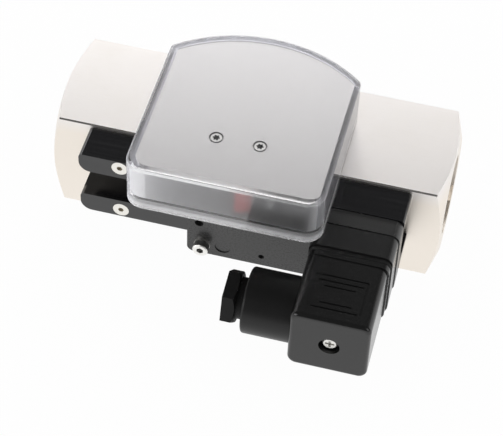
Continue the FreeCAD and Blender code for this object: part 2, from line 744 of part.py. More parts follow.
def make_dial_screws():
    """Two low-head screws with six-lobe recesses, sunk in the plate."""
    head_top = plate_top_z - DIAL_HEAD_SINK
    seat = head_top - DIAL_HEAD_HEIGHT
    end = plate_z - DIAL_SCREW_LENGTH + FACE_GAP
    screws = []
    for place in pillar_places():
        base = Vector(place.x, place.y, seat)
        profile = [
            (end - seat, 0), (end - seat, DIAL_SCREW_RADIUS), (0, DIAL_SCREW_RADIUS),
            (0, DIAL_HEAD_RADIUS), (DIAL_HEAD_HEIGHT - DIAL_HEAD_BEVEL, DIAL_HEAD_RADIUS),
            (DIAL_HEAD_HEIGHT, DIAL_HEAD_RADIUS - DIAL_HEAD_BEVEL), (DIAL_HEAD_HEIGHT, 0),
        ]
        floor = Vector(place.x, place.y, head_top - DIAL_RECESS_DEPTH)
        screws.append(turned(profile, base, Z_AXIS).cut(lobed_recess(floor)))
    return Part.makeCompound(screws)


def make_pivot_shaft():
    """Upright shaft with a collar under the hub and a groove for the clip."""
    top = clip_z + CLIP_THICKNESS + PIVOT_RADIUS
    groove = PIVOT_RADIUS - CLIP_BITE
    base = Vector(pivot.x, pivot.y, 0)
    profile = [
        (top_z, 0), (top_z, PIVOT_RADIUS), (base_top_z, PIVOT_RADIUS), (base_top_z, PIVOT_COLLAR_RADIUS),
        (base_top_z + PIVOT_COLLAR_HEIGHT, PIVOT_COLLAR_RADIUS),
        (base_top_z + PIVOT_COLLAR_HEIGHT, PIVOT_RADIUS), (clip_z, PIVOT_RADIUS), (clip_z, groove),
        (clip_z + CLIP_THICKNESS, groove), (clip_z + CLIP_THICKNESS, PIVOT_RADIUS),
        (top, PIVOT_RADIUS), (top, 0),
    ]
    return turned(profile, base, Z_AXIS)


def make_pivot_clip():
    """Open clip in the shaft's groove that keeps the hub on."""
    inner = PIVOT_RADIUS - CLIP_BITE + SEAT_GAP
    base = Vector(pivot.x, pivot.y, clip_z)
    clip = tube(CLIP_RADIUS, inner, CLIP_THICKNESS, base, Z_AXIS)
    half = CLIP_MOUTH / 2
    mouth = block(
        pivot.x - half, pivot.x + half, pivot.y, pivot.y + CLIP_RADIUS, clip_z, clip_z + CLIP_THICKNESS,
    )
    return clip.cut(mouth)


def at_rest_angle(solid):
    """Turn a piece of the pointer, drawn along Y, to where the pointer rests."""
    solid.rotate(pivot, Z_AXIS, POINTER_REST_DEG)
    return solid


def pointer_strip(reach, direction, z):
    """Flat strip from the hub outwards along Y, with a ring round the hub."""
    half = ARM_WIDTH / 2
    ends = sorted((pivot.y, pivot.y + direction * reach))
    strip = block(pivot.x - half, pivot.x + half, ends[0], ends[1], z, z + ARM_THICKNESS)
    middle = Vector(pivot.x, pivot.y, z)
    ring = Part.makeCylinder(POINTER_HUB_RADIUS + ARM_WIDTH / 3, ARM_THICKNESS, middle, Z_AXIS)
    return strip.fuse(ring)


def hub_hole(solid):
    """Open a strip for the hub."""
    bottom = Vector(pivot.x, pivot.y, base_top_z)
    return solid.cut(Part.makeCylinder(POINTER_HUB_RADIUS + SEAT_GAP, HOOD_HEIGHT, bottom, Z_AXIS))


def make_pointer_hub():
    """Bush that turns on the shaft and carries both strips."""
    base = Vector(pivot.x, pivot.y, hub_z)
    return tube(POINTER_HUB_RADIUS, PIVOT_RADIUS + RUN_GAP, HUB_LENGTH, base, Z_AXIS)


def make_pointer_arm():
    """Strip towards the body with a round pad over the follower magnet."""
    middle = Vector(pivot.x, pivot.y + MAGNET_ARM, arm_z)
    pad = Part.makeCylinder(FOLLOWER_RADIUS + FOLLOWER_RIM, ARM_THICKNESS, middle, Z_AXIS)
    arm = pointer_strip(MAGNET_ARM, 1, arm_z).fuse(pad)
    return at_rest_angle(hub_hole(arm).removeSplitter())


def make_follower_magnet():
    """Disc magnet under the arm's pad, over the float's magnets."""
    top = Vector(pivot.x, pivot.y + MAGNET_ARM, arm_z)
    return at_rest_angle(Part.makeCylinder(FOLLOWER_RADIUS, FOLLOWER_HEIGHT, top, -Z_AXIS))


def make_pointer_flag():
    """Strip towards the front wall with an upright red flag bent from its end."""
    half = FLAG_WIDTH / 2
    tip_y = pivot.y - FLAG_REACH
    bottom = flag_z + ARM_THICKNESS - FLAG_HEIGHT / 2
    tab = block(
        pivot.x - half, pivot.x + half, tip_y - ARM_THICKNESS, tip_y, bottom, bottom + FLAG_HEIGHT,
    )
    strip = pointer_strip(FLAG_REACH, -1, flag_z)
    return at_rest_angle(hub_hole(strip.fuse(tab)).removeSplitter())


# Rails

def make_rail(z, lip_up):
    """Bar on the body's front with a lip at its front edge, above or below."""
    end = RAIL_START + RAIL_LENGTH
    top = z + RAIL_HEIGHT
    bar = block(RAIL_START, end, rail_front_y, front_y, z, top)
    lower = [edge for edge in edges_along(bar, Y_AXIS) if edge.CenterOfMass.z < z + RAIL_HEIGHT / 2]
    bar = bar.makeFillet(RAIL_LOWER_CORNER, lower)
    upper = edges_along(bar, Y_AXIS)
    upper = [edge for edge in upper if abs(edge.CenterOfMass.z - top) < 1e-6]
    bar = bar.makeFillet(RAIL_UPPER_CORNER, upper)
    lip_y = rail_front_y + RAIL_LIP_DEPTH
    relief_z = top - RAIL_LIP_HEIGHT if lip_up else z
    relief = block(RAIL_START, end, lip_y, front_y, relief_z, relief_z + RAIL_LIP_HEIGHT)
    holes = [flat_head_screw(place, Y_AXIS, RAIL_SCREW_LENGTH, SEAT_GAP) for place in rail_screw_tops()]
    mouths = [
        Part.makeCylinder(FLAT_HEAD_RADIUS + SEAT_GAP, SEAT_GAP, place, -Y_AXIS)
        for place in rail_screw_tops()
    ]
    return bar.cut([relief] + holes + mouths)


def make_upper_rail():
    """Rail above the slot, with its lip downwards."""
    return make_rail(upper_rail_z, False)


def make_lower_rail():
    """Rail below the slot, with its lip upwards."""
    return make_rail(lower_rail_z, True)


def make_rail_screws():
    """Countersunk screws through the rails into the body."""
    return socketed_flat_heads(rail_screw_tops(), Y_AXIS, RAIL_SCREW_LENGTH)


# Switch contact carriage

def make_contact_housing():
    """Moulded carriage: flange before the rails, tongue in their slot, block for the connector."""
    flange = block(
        CARRIAGE_START, connector_x, flange_front_y, flange_back_y, flange_bottom_z, flange_top_z,
    )
    left = [edge for edge in edges_along(flange, Y_AXIS) if edge.CenterOfMass.x < CARRIAGE_START + 1e-6]
    flange = flange.makeFillet(FLANGE_CORNER, left)
    front_block = rounded_bar(BLOCK_WIDTH, BLOCK_HEIGHT, CONNECTOR_CORNER, flange_back_y, block_front_y)
    tongue_end = reed_x + TONGUE_LENGTH
    lip_back_y = rail_front_y + RAIL_LIP_DEPTH + MOVE_GAP
    neck = block(
        reed_x, tongue_end, flange_back_y, lip_back_y, slot_low_z + MOVE_GAP, slot_high_z - MOVE_GAP,
    )
    head = block(
        reed_x, tongue_end, lip_back_y, front_y - MOVE_GAP,
        slot_low_z - RAIL_LIP_HEIGHT + MOVE_GAP, slot_high_z + RAIL_LIP_HEIGHT - MOVE_GAP,
    )
    hole_y = Vector(0, flange_front_y, 0)
    pin_hole = hole_y + Vector(CARRIAGE_START + PIN_HOLE_INSET, 0, lower_rail_z + PIN_HOLE_DROP)
    gate_hole = hole_y + Vector(CARRIAGE_START + GATE_HOLE_INSET, 0, flange_bottom_z + GATE_HOLE_RISE)
    pad = hole_y + Vector(CARRIAGE_START + PAD_INSET, 0, flange_bottom_z + PAD_RISE)
    clamp_hole = hole_y + Vector(clamp_x, 0, clamp_z)
    cuts = [
        Part.makeCylinder(PAD_RADIUS, PAD_DEPTH, pad, Y_AXIS),
        Part.makeCylinder(PIN_HOLE_RADIUS, BLIND_HOLE_DEPTH, pin_hole, Y_AXIS),
        Part.makeCylinder(GATE_HOLE_RADIUS, BLIND_HOLE_DEPTH, gate_hole, Y_AXIS),
        Part.makeCylinder(SCREW_RADIUS + RUN_GAP, FLANGE_THICKNESS, clamp_hole, Y_AXIS),
        Part.makeCylinder(REED_RADIUS + REED_ROOM, REED_LENGTH + REED_ROOM, reed_place(), X_AXIS),
    ]
    return flange.fuse([front_block, neck, head]).cut(cuts).removeSplitter()


def reed_place():
    """Start of the reed switch, in the middle of the tongue's head."""
    lip_back_y = rail_front_y + RAIL_LIP_DEPTH + MOVE_GAP
    return Vector(reed_x, (lip_back_y + front_y - MOVE_GAP) / 2, rail_mid_z)


def make_reed_switch():
    """Glass switch tube with round ends."""
    tube_shape = Part.makeCylinder(REED_RADIUS, REED_LENGTH, reed_place(), X_AXIS)
    ends = [edge for edge in tube_shape.Edges if isinstance(edge.Curve, Part.Circle)]
    return tube_shape.makeFillet(REED_END_ROUND, ends)


def make_clamp_jaw():
    """Jaw under the lower rail that the clamp screw draws against the flange."""
    jaw_top = lower_rail_z - MOVE_GAP
    jaw = block(
        CARRIAGE_START, CARRIAGE_START + JAW_LENGTH, flange_back_y, flange_back_y + JAW_DEPTH,
        flange_bottom_z + FLANGE_CORNER / 2, jaw_top,
    )
    jaw = jaw.makeChamfer(JAW_EDGE, edges_at(jaw, Y_AXIS, flange_back_y + JAW_DEPTH))
    mouth = Vector(clamp_x, flange_back_y, clamp_z)
    return jaw.cut(Part.makeCylinder(SCREW_RADIUS + RUN_GAP, JAW_DEPTH, mouth, Y_AXIS))


def make_clamp_washer():
    """Washer under the clamp screw's head."""
    base = Vector(clamp_x, flange_front_y, clamp_z)
    return tube(CLAMP_WASHER_RADIUS, SCREW_RADIUS + RUN_GAP, CLAMP_WASHER_THICKNESS, base, -Y_AXIS)


def make_clamp_screw():
    """Socket cap screw that locks the carriage."""
    seat_y = flange_front_y - CLAMP_WASHER_THICKNESS - FACE_GAP
    base = Vector(clamp_x, seat_y, clamp_z)
    profile = [
        (-CLAMP_SCREW_LENGTH, 0), (-CLAMP_SCREW_LENGTH, SCREW_RADIUS), (0, SCREW_RADIUS),
        (0, CLAMP_HEAD_RADIUS), (CLAMP_HEAD_HEIGHT - CLAMP_HEAD_BEVEL, CLAMP_HEAD_RADIUS),
        (CLAMP_HEAD_HEIGHT, CLAMP_HEAD_RADIUS - CLAMP_HEAD_BEVEL), (CLAMP_HEAD_HEIGHT, 0),
    ]
    socket = base + Vector(0, CLAMP_SOCKET_DEPTH - CLAMP_HEAD_HEIGHT, 0)
    return turned(profile, base, -Y_AXIS).cut(
        hexagon(CLAMP_SOCKET_FLATS, CLAMP_SOCKET_DEPTH, socket, -Y_AXIS)
    )


def connector_point(y):
    """Point on the connector's middle line."""
    return Vector(connector_x, y, connector_z)


def pin_blades(y_back, y_front, room):
    """Contact blades round the connector's middle, or with some room their slots."""
    blades = []
    for step in range(PIN_COUNT):
        thick = PIN_THICKNESS / 2 + room
        wide = PIN_WIDTH / 2 + room
        middle = connector_x + PIN_CIRCLE_RADIUS
        blade = block(
            middle - thick, middle + thick, y_front, y_back, connector_z - wide, connector_z + wide,
        )
        blade.rotate(connector_point(0), Y_AXIS, 360 / PIN_COUNT * step)
        blades.append(blade)
    return blades


def make_connector_base():
    """Square socket on the block, with blade slots and a seat for the threaded insert."""
    socket = rounded_bar(
        CONNECTOR_WIDTH, CONNECTOR_WIDTH, CONNECTOR_CORNER, block_front_y, connector_front_y,
    )
    socket = socket.makeChamfer(CONNECTOR_EDGE, edges_at(socket, Y_AXIS, block_front_y))
    seat = Part.makeCylinder(
        INSERT_NUT_RADIUS + SEAT_GAP, INSERT_NUT_LENGTH, connector_point(connector_front_y), Y_AXIS,
    )
    slots = pin_blades(connector_front_y + PIN_ROOT, connector_front_y, 0)
    return socket.cut([seat] + slots)


def make_contact_pins():
    """Blades that stand out of the connector base into the plug."""
    return Part.makeCompound(
        pin_blades(connector_front_y + PIN_ROOT, connector_front_y - PIN_REACH, 0)
    )


def make_thread_insert():
    """Brass insert that takes the plug screw."""
    return tube(
        INSERT_NUT_RADIUS, SCREW_RADIUS + RUN_GAP, INSERT_NUT_LENGTH,
        connector_point(connector_front_y), Y_AXIS,
    )


# Plug

def gland_point(x):
    """Point on the gland's middle line."""
    return Vector(x, gland_y, connector_z)


def plug_outside():
    """Outer shape of the plug's cap, filled."""
    step = 2 * PLUG_RIM_STEP
    cap = rounded_bar(PLUG_WIDTH - step, PLUG_HEIGHT - step, PLUG_CORNER, plug_back_y, plug_front_y)
    cap = cap.makeFillet(PLUG_FRONT_EDGE, edges_at(cap, Y_AXIS, plug_front_y))
    cap.translate(Vector(-PLUG_RIM_STEP, 0, 0))
    rim = rounded_bar(PLUG_WIDTH, PLUG_HEIGHT, PLUG_CORNER, plug_back_y, plug_back_y - PLUG_RIM_LENGTH)
    rim = rim.makeChamfer(PLUG_RIM_EDGE, edges_at(rim, Y_AXIS, plug_back_y))
    return cap.fuse(rim)


def plug_marks():
    """Plain lines sunk in the plug's top: an open frame round two pairs of strokes."""
    middle = connector_x - PLUG_RIM_STEP
    frame_y = plug_back_y - MARK_FRAME_Y
    low_y = frame_y - 2 * MARK_PITCH - MARK_SPACE
    rows = [
        (frame_y, MARK_LONG), (frame_y - MARK_PITCH, MARK_MIDDLE), (frame_y - 2 * MARK_PITCH, MARK_SHORT),
        (low_y, MARK_SHORT), (low_y - MARK_PITCH, MARK_MIDDLE),
    ]
    end_y = rows[-1][0]
    half = MARK_WIDTH / 2
    top = connector_z + PLUG_HEIGHT / 2 - PLUG_RIM_STEP
    marks = []
    for y, length in rows:
        marks.append(block(
            middle - length / 2, middle + length / 2, y - half, y + half, top - MARK_DEPTH, top + MARK_DEPTH,
        ))
    for side in (-1, 1):
        x = middle + side * MARK_LONG / 2
        marks.append(block(x - half, x + half, end_y, frame_y, top - MARK_DEPTH, top + MARK_DEPTH))
    return marks


def make_plug_housing():
    """Hollow square cap with a hole for the cable and a recess for its screw."""
    cavity = rounded_bar(
        PLUG_WIDTH - 2 * PLUG_WALL, PLUG_HEIGHT - 2 * PLUG_WALL, PLUG_CORNER - PLUG_WALL / 2,
        plug_back_y, plug_inner_y,
    )
    cuts = [
        cavity,
        Part.makeCylinder(CABLE_RADIUS + CABLE_ROOM, PLUG_WIDTH / 2, gland_point(plug_left_x), X_AXIS),
        Part.makeCylinder(SCREW_RECESS_RADIUS, SCREW_RECESS_DEPTH, connector_point(plug_front_y), Y_AXIS),
        Part.makeCylinder(
            SCREW_RADIUS + PLUG_SCREW_ROOM, PLUG_LENGTH, connector_point(plug_front_y), Y_AXIS,
        ),
    ]
    return plug_outside().cut(cuts + plug_marks()).removeSplitter()


def make_gland_boss():
    """Round boss on the plug's side, bored for the gland's seal and spigot."""
    boss = Part.makeCylinder(BOSS_RADIUS, BOSS_LENGTH + PLUG_CORNER, gland_point(boss_x), X_AXIS)
    boss = boss.makeFillet(BOSS_EDGE, edges_at(boss, X_AXIS, boss_x))
    bore_depth = NUT_SPIGOT + FACE_GAP + GLAND_WASHER_THICKNESS + GLAND_SEAL_LENGTH
    cuts = [
        plug_outside(),
        Part.makeCylinder(GLAND_BORE_RADIUS, bore_depth, gland_point(boss_x), X_AXIS),
        Part.makeCylinder(CABLE_RADIUS + CABLE_ROOM, BOSS_LENGTH, gland_point(boss_x), X_AXIS),
    ]
    return boss.cut(cuts)


def make_plug_gasket():
    """Square ring between the connector base and the plug."""
    width = PLUG_WIDTH + 2 * PLUG_GASKET_REACH
    height = PLUG_HEIGHT + 2 * PLUG_GASKET_REACH
    ring = rounded_bar(width, height, PLUG_CORNER, gasket_y, plug_back_y)
    rims = edges_at(ring, Y_AXIS, gasket_y) + edges_at(ring, Y_AXIS, plug_back_y)
    ring = ring.makeChamfer(PLUG_GASKET_EDGE, rims)
    window = rounded_bar(
        width - 2 * PLUG_GASKET_WALL, height - 2 * PLUG_GASKET_WALL, PLUG_CORNER / 2, gasket_y, plug_back_y,
    )
    return ring.cut(window)


def terminal_places(y):
    """Middles of the terminal screws, one behind each blade."""
    places = []
    for step in range(PIN_COUNT):
        angle = math.radians(360 / PIN_COUNT * step)
        offset = Vector(math.cos(angle), 0, math.sin(angle)) * PIN_CIRCLE_RADIUS
        places.append(connector_point(y) + offset)
    return places


def make_plug_insert():
    """Terminal block in the plug with its screw's guide tube, blade slots and screw seats."""
    corner = PLUG_CORNER - PLUG_WALL / 2
    body = rounded_bar(
        PLUG_WIDTH - 2 * PLUG_WALL - 2 * SEAT_GAP, PLUG_HEIGHT - 2 * PLUG_WALL - 2 * SEAT_GAP, corner,
        plug_back_y, insert_front_y,
    )
    slot_front_y = connector_front_y - PIN_REACH - PIN_SLOT_ROOM
    slots = pin_blades(plug_back_y, slot_front_y, PIN_SLOT_ROOM)
    tube_front_y = plug_inner_y + FACE_GAP
    hole_radius = SCREW_RADIUS + PLUG_SCREW_ROOM
    guide = Part.makeCylinder(
        hole_radius + SCREW_TUBE_WALL, insert_front_y - tube_front_y, connector_point(tube_front_y), Y_AXIS,
    )
    screw_hole = Part.makeCylinder(
        hole_radius, plug_back_y - tube_front_y, connector_point(tube_front_y), Y_AXIS,
    )
    seats = [
        Part.makeCylinder(TERMINAL_RADIUS + SEAT_GAP, TERMINAL_SINK, place, Y_AXIS)
        for place in terminal_places(insert_front_y)
    ]
    return body.fuse(guide).cut(slots + [screw_hole] + seats).removeSplitter()


def make_terminal_screws():
    """Slotted screws that hold the cores."""
    screws = []
    half = TERMINAL_SLOT / 2
    head_y = insert_front_y + TERMINAL_SINK - TERMINAL_HEIGHT
    for place in terminal_places(insert_front_y + TERMINAL_SINK):
        screw = Part.makeCylinder(TERMINAL_RADIUS, TERMINAL_HEIGHT, place, -Y_AXIS)
        slot = block(
            place.x - TERMINAL_RADIUS, place.x + TERMINAL_RADIUS, head_y, head_y + TERMINAL_SLOT,
            place.z - half, place.z + half,
        )
        screws.append(screw.cut(slot))
    return Part.makeCompound(screws)


def make_plug_screw():
    """Long central screw with a cross recess, deep in the plug's front."""
    seat_y = screw_seat_y - FACE_GAP
    length = seat_y - connector_front_y - INSERT_NUT_LENGTH + FACE_GAP
    profile = [
        (length, 0), (length, SCREW_RADIUS), (0, SCREW_RADIUS), (0, PLUG_HEAD_RADIUS),
        (PLUG_HEAD_HEIGHT - PLUG_HEAD_BEVEL, PLUG_HEAD_RADIUS),
        (PLUG_HEAD_HEIGHT, PLUG_HEAD_RADIUS - PLUG_HEAD_BEVEL),
        (PLUG_HEAD_HEIGHT, 0),
    ]
    screw = turned(profile, connector_point(seat_y), -Y_AXIS)
    head_y = seat_y - PLUG_HEAD_HEIGHT
    long = CROSS_LENGTH / 2
    thin = CROSS_WIDTH / 2
    bars = []
    for half_x, half_z in ((long, thin), (thin, long)):
        bars.append(block(
            connector_x - half_x, connector_x + half_x, head_y, head_y + CROSS_DEPTH,
            connector_z - half_z, connector_z + half_z,
        ))
    return screw.cut(bars)


def make_gland_nut():
    """Hexagon compression nut whose spigot goes into the boss."""
    neck_length = NUT_NECK + FACE_GAP
    spigot_length = NUT_NECK + NUT_SPIGOT
    head = hexagon(NUT_FLATS, NUT_LENGTH, gland_point(nut_x), X_AXIS)
    corner_radius = NUT_FLATS / math.sqrt(3)
    rounding = turned(
        [
            (0, 0), (0, corner_radius), (NUT_LENGTH - NUT_EDGE, corner_radius), (NUT_LENGTH, NUT_FLATS / 2),
            (NUT_LENGTH, 0),
        ],
        gland_point(nut_x), X_AXIS,
    )
    neck = Part.makeCylinder(NUT_NECK_RADIUS, neck_length, gland_point(nut_x + NUT_LENGTH), X_AXIS)
    spigot = Part.makeCylinder(
        GLAND_BORE_RADIUS - RUN_GAP, spigot_length - neck_length,
        gland_point(nut_x + NUT_LENGTH + neck_length), X_AXIS,
    )
    bore = Part.makeCylinder(CABLE_RADIUS, NUT_LENGTH + spigot_length, gland_point(nut_x), X_AXIS)
    head = head.common(rounding)
    head.rotate(gland_point(nut_x), X_AXIS, -NUT_TURN_DEG)
    return head.fuse([neck, spigot]).cut(bore).removeSplitter()


def make_gland_washer():
    """Slip washer between the nut's spigot and the seal."""
    return tube(
        GLAND_BORE_RADIUS - SEAT_GAP, CABLE_RADIUS + SEAT_GAP, GLAND_WASHER_THICKNESS,
        gland_point(spigot_end_x + FACE_GAP), X_AXIS,
    )


def make_gland_seal():
    """Rubber ring that grips the cable."""
    return tube(
        GLAND_BORE_RADIUS - SEAT_GAP, CABLE_RADIUS + SEAT_GAP, GLAND_SEAL_LENGTH,
        gland_point(seal_x), X_AXIS,
    )


PIECES = {
    "body_block": make_body_block,
    "inlet_spider": make_inlet_spider,
    "outlet_spider": make_outlet_spider,
    "guide_rod": make_guide_rod,
    "metering_sleeve": make_metering_sleeve,
    "sleeve_oring": make_sleeve_oring,
    "retaining_rings": make_retaining_rings,
    "return_spring": make_return_spring,
    "float_body": make_float_body,
    "float_bush": make_float_bush,
    "float_magnets": make_float_magnets,
    "float_locknut": make_float_locknut,
    "hood": make_hood,
    "hood_seal": make_hood_seal,
    "indicator_base": make_indicator_base,
    "base_screws": make_base_screws,
    "plate_pillars": make_plate_pillars,
    "dial_plate": make_dial_plate,
    "dial_screws": make_dial_screws,
    "pivot_shaft": make_pivot_shaft,
    "pivot_clip": make_pivot_clip,
    "pointer_hub": make_pointer_hub,
    "pointer_arm": make_pointer_arm,
    "follower_magnet": make_follower_magnet,
    "pointer_flag": make_pointer_flag,
    "pointer_stop": make_pointer_stop,
    "upper_rail": make_upper_rail,
    "lower_rail": make_lower_rail,
    "rail_screws": make_rail_screws,
    "contact_housing": make_contact_housing,
    "reed_switch": make_reed_switch,
    "clamp_jaw": make_clamp_jaw,
    "clamp_washer": make_clamp_washer,
    "clamp_screw": make_clamp_screw,
    "connector_base": make_connector_base,
    "contact_pins": make_contact_pins,
    "thread_insert": make_thread_insert,
    "plug_housing": make_plug_housing,
    "gland_boss": make_gland_boss,
    "plug_gasket": make_plug_gasket,
    "plug_insert": make_plug_insert,
    "terminal_screws": make_terminal_screws,
    "plug_screw": make_plug_screw,
    "gland_nut": make_gland_nut,
    "gland_washer": make_gland_washer,
    "gland_seal": make_gland_seal,
}


def main():
    """Build every piece and write it to its own file."""
    os.makedirs("parts", exist_ok=True)
    for name, make in PIECES.items():
        shape = make()
        shape.exportStep(f"parts/{name}.step")
        print(name, len(shape.Solids), round(shape.Volume, 2), shape.isValid())


main()
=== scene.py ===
"""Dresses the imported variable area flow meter: finishes, small modelled pieces, studio and camera."""

from __future__ import annotations

import json
import logging
import math
from dataclasses import dataclass, field
from enum import Enum
from typing import Any, Dict, Iterable, List, Optional, Sequence, Tuple, Union

import bmesh
import bpy
from mathutils import Matrix, Vector

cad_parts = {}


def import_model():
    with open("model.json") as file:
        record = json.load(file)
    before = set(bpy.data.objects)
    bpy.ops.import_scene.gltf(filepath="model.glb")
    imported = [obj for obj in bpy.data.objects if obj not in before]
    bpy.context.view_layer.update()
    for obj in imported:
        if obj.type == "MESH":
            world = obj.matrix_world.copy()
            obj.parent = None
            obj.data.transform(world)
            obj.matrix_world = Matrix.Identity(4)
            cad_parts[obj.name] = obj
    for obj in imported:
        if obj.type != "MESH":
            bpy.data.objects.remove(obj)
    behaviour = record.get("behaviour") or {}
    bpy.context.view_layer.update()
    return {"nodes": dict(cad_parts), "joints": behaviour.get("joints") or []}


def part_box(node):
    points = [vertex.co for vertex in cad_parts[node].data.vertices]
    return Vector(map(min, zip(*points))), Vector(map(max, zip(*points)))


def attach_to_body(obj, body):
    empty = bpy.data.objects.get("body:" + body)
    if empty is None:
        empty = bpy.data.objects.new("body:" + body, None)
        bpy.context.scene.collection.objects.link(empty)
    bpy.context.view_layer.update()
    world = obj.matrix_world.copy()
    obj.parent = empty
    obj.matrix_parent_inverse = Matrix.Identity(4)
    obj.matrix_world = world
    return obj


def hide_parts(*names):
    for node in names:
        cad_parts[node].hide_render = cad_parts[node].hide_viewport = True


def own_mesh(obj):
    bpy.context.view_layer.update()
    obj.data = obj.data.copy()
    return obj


LOG = logging.getLogger("flow_meter")
MM = 0.001
WELD = 1e-6  # vertices nearer than this are one, in metres
CUT_REACH = 1e-7  # a vertex nearer than this to a cut lies on it, in metres
CREASE = 30.0  # an edge that turns more than this shades sharp, in degrees

Colour = Tuple[float, float, float]
Triple = Tuple[float, float, float]
Stops = Sequence[Tuple[float, float]]
Finishes = Dict[str, bpy.types.Material]


class Axis(Enum):
    """Directions of the shared frame."""

    X = Vector((1, 0, 0))
    Z = Vector((0, 0, 1))
    FRONT = Vector((0, -1, 0))


class Ray(Enum):
    """Kinds of ray that the Light Path node tells apart."""

    CAMERA = "Is Camera Ray"
    GLOSSY = "Is Glossy Ray"
    THROUGH = "Is Transmission Ray"
    SHADOW = "Is Shadow Ray"


class Body(Enum):
    """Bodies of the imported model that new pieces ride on."""

    BASE = "base"
    CLAMP = "clamp"


class HoodZone(Enum):
    """Finishes of the hood: polished, its inner front, sides, rim and lip, and its front top edge."""

    POLISHED = "clear"
    FRONT = "frosted"
    SIDE = "veiled"
    RIM = "milky"
    LIP = "pale_lip"
    EDGE = "pale_edge"


class Slot(Enum):
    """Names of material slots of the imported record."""

    NICKEL = "nickel"
    STEEL = "steel"
    CLEAR = "clear"


class Wire:
    """A value on an output socket; arithmetic on it adds Math nodes."""

    def __init__(self, paint: Paint, socket: bpy.types.NodeSocket) -> None:
        """Keeps the socket and the paint that its node belongs to."""
        self.paint = paint
        self.socket = socket

    def maths(self, operation: str, first: Value, second: Value) -> Wire:
        """Adds one Math node.

        Args:
            operation: the Math node's operation.
            first: first operand.
            second: second operand.

        Returns:
            The node's result.
        """
        return self.paint.add("ShaderNodeMath", {"operation": operation}, {0: first, 1: second})

    def __add__(self, other: Value) -> Wire:
        """Sum."""
        return self.maths("ADD", self, other)

    def __radd__(self, other: Value) -> Wire:
        """Sum with a number on the left."""
        return self.maths("ADD", other, self)

    def __sub__(self, other: Value) -> Wire:
        """Difference."""
        return self.maths("SUBTRACT", self, other)

    def __rsub__(self, other: Value) -> Wire:
        """Difference with a number on the left."""
        return self.maths("SUBTRACT", other, self)

    def __mul__(self, other: Value) -> Wire:
        """Product."""
        return self.maths("MULTIPLY", self, other)

    def __rmul__(self, other: Value) -> Wire:
        """Product with a number on the left."""
        return self.maths("MULTIPLY", other, self)

    def most(self, other: Value) -> Wire:
        """The larger of two values."""
        return self.maths("MAXIMUM", self, other)

    def above(self, level: Value) -> Wire:
        """One where the value is over a level, else nought."""
        return self.maths("GREATER_THAN", self, level)


Value = Union[Wire, float]


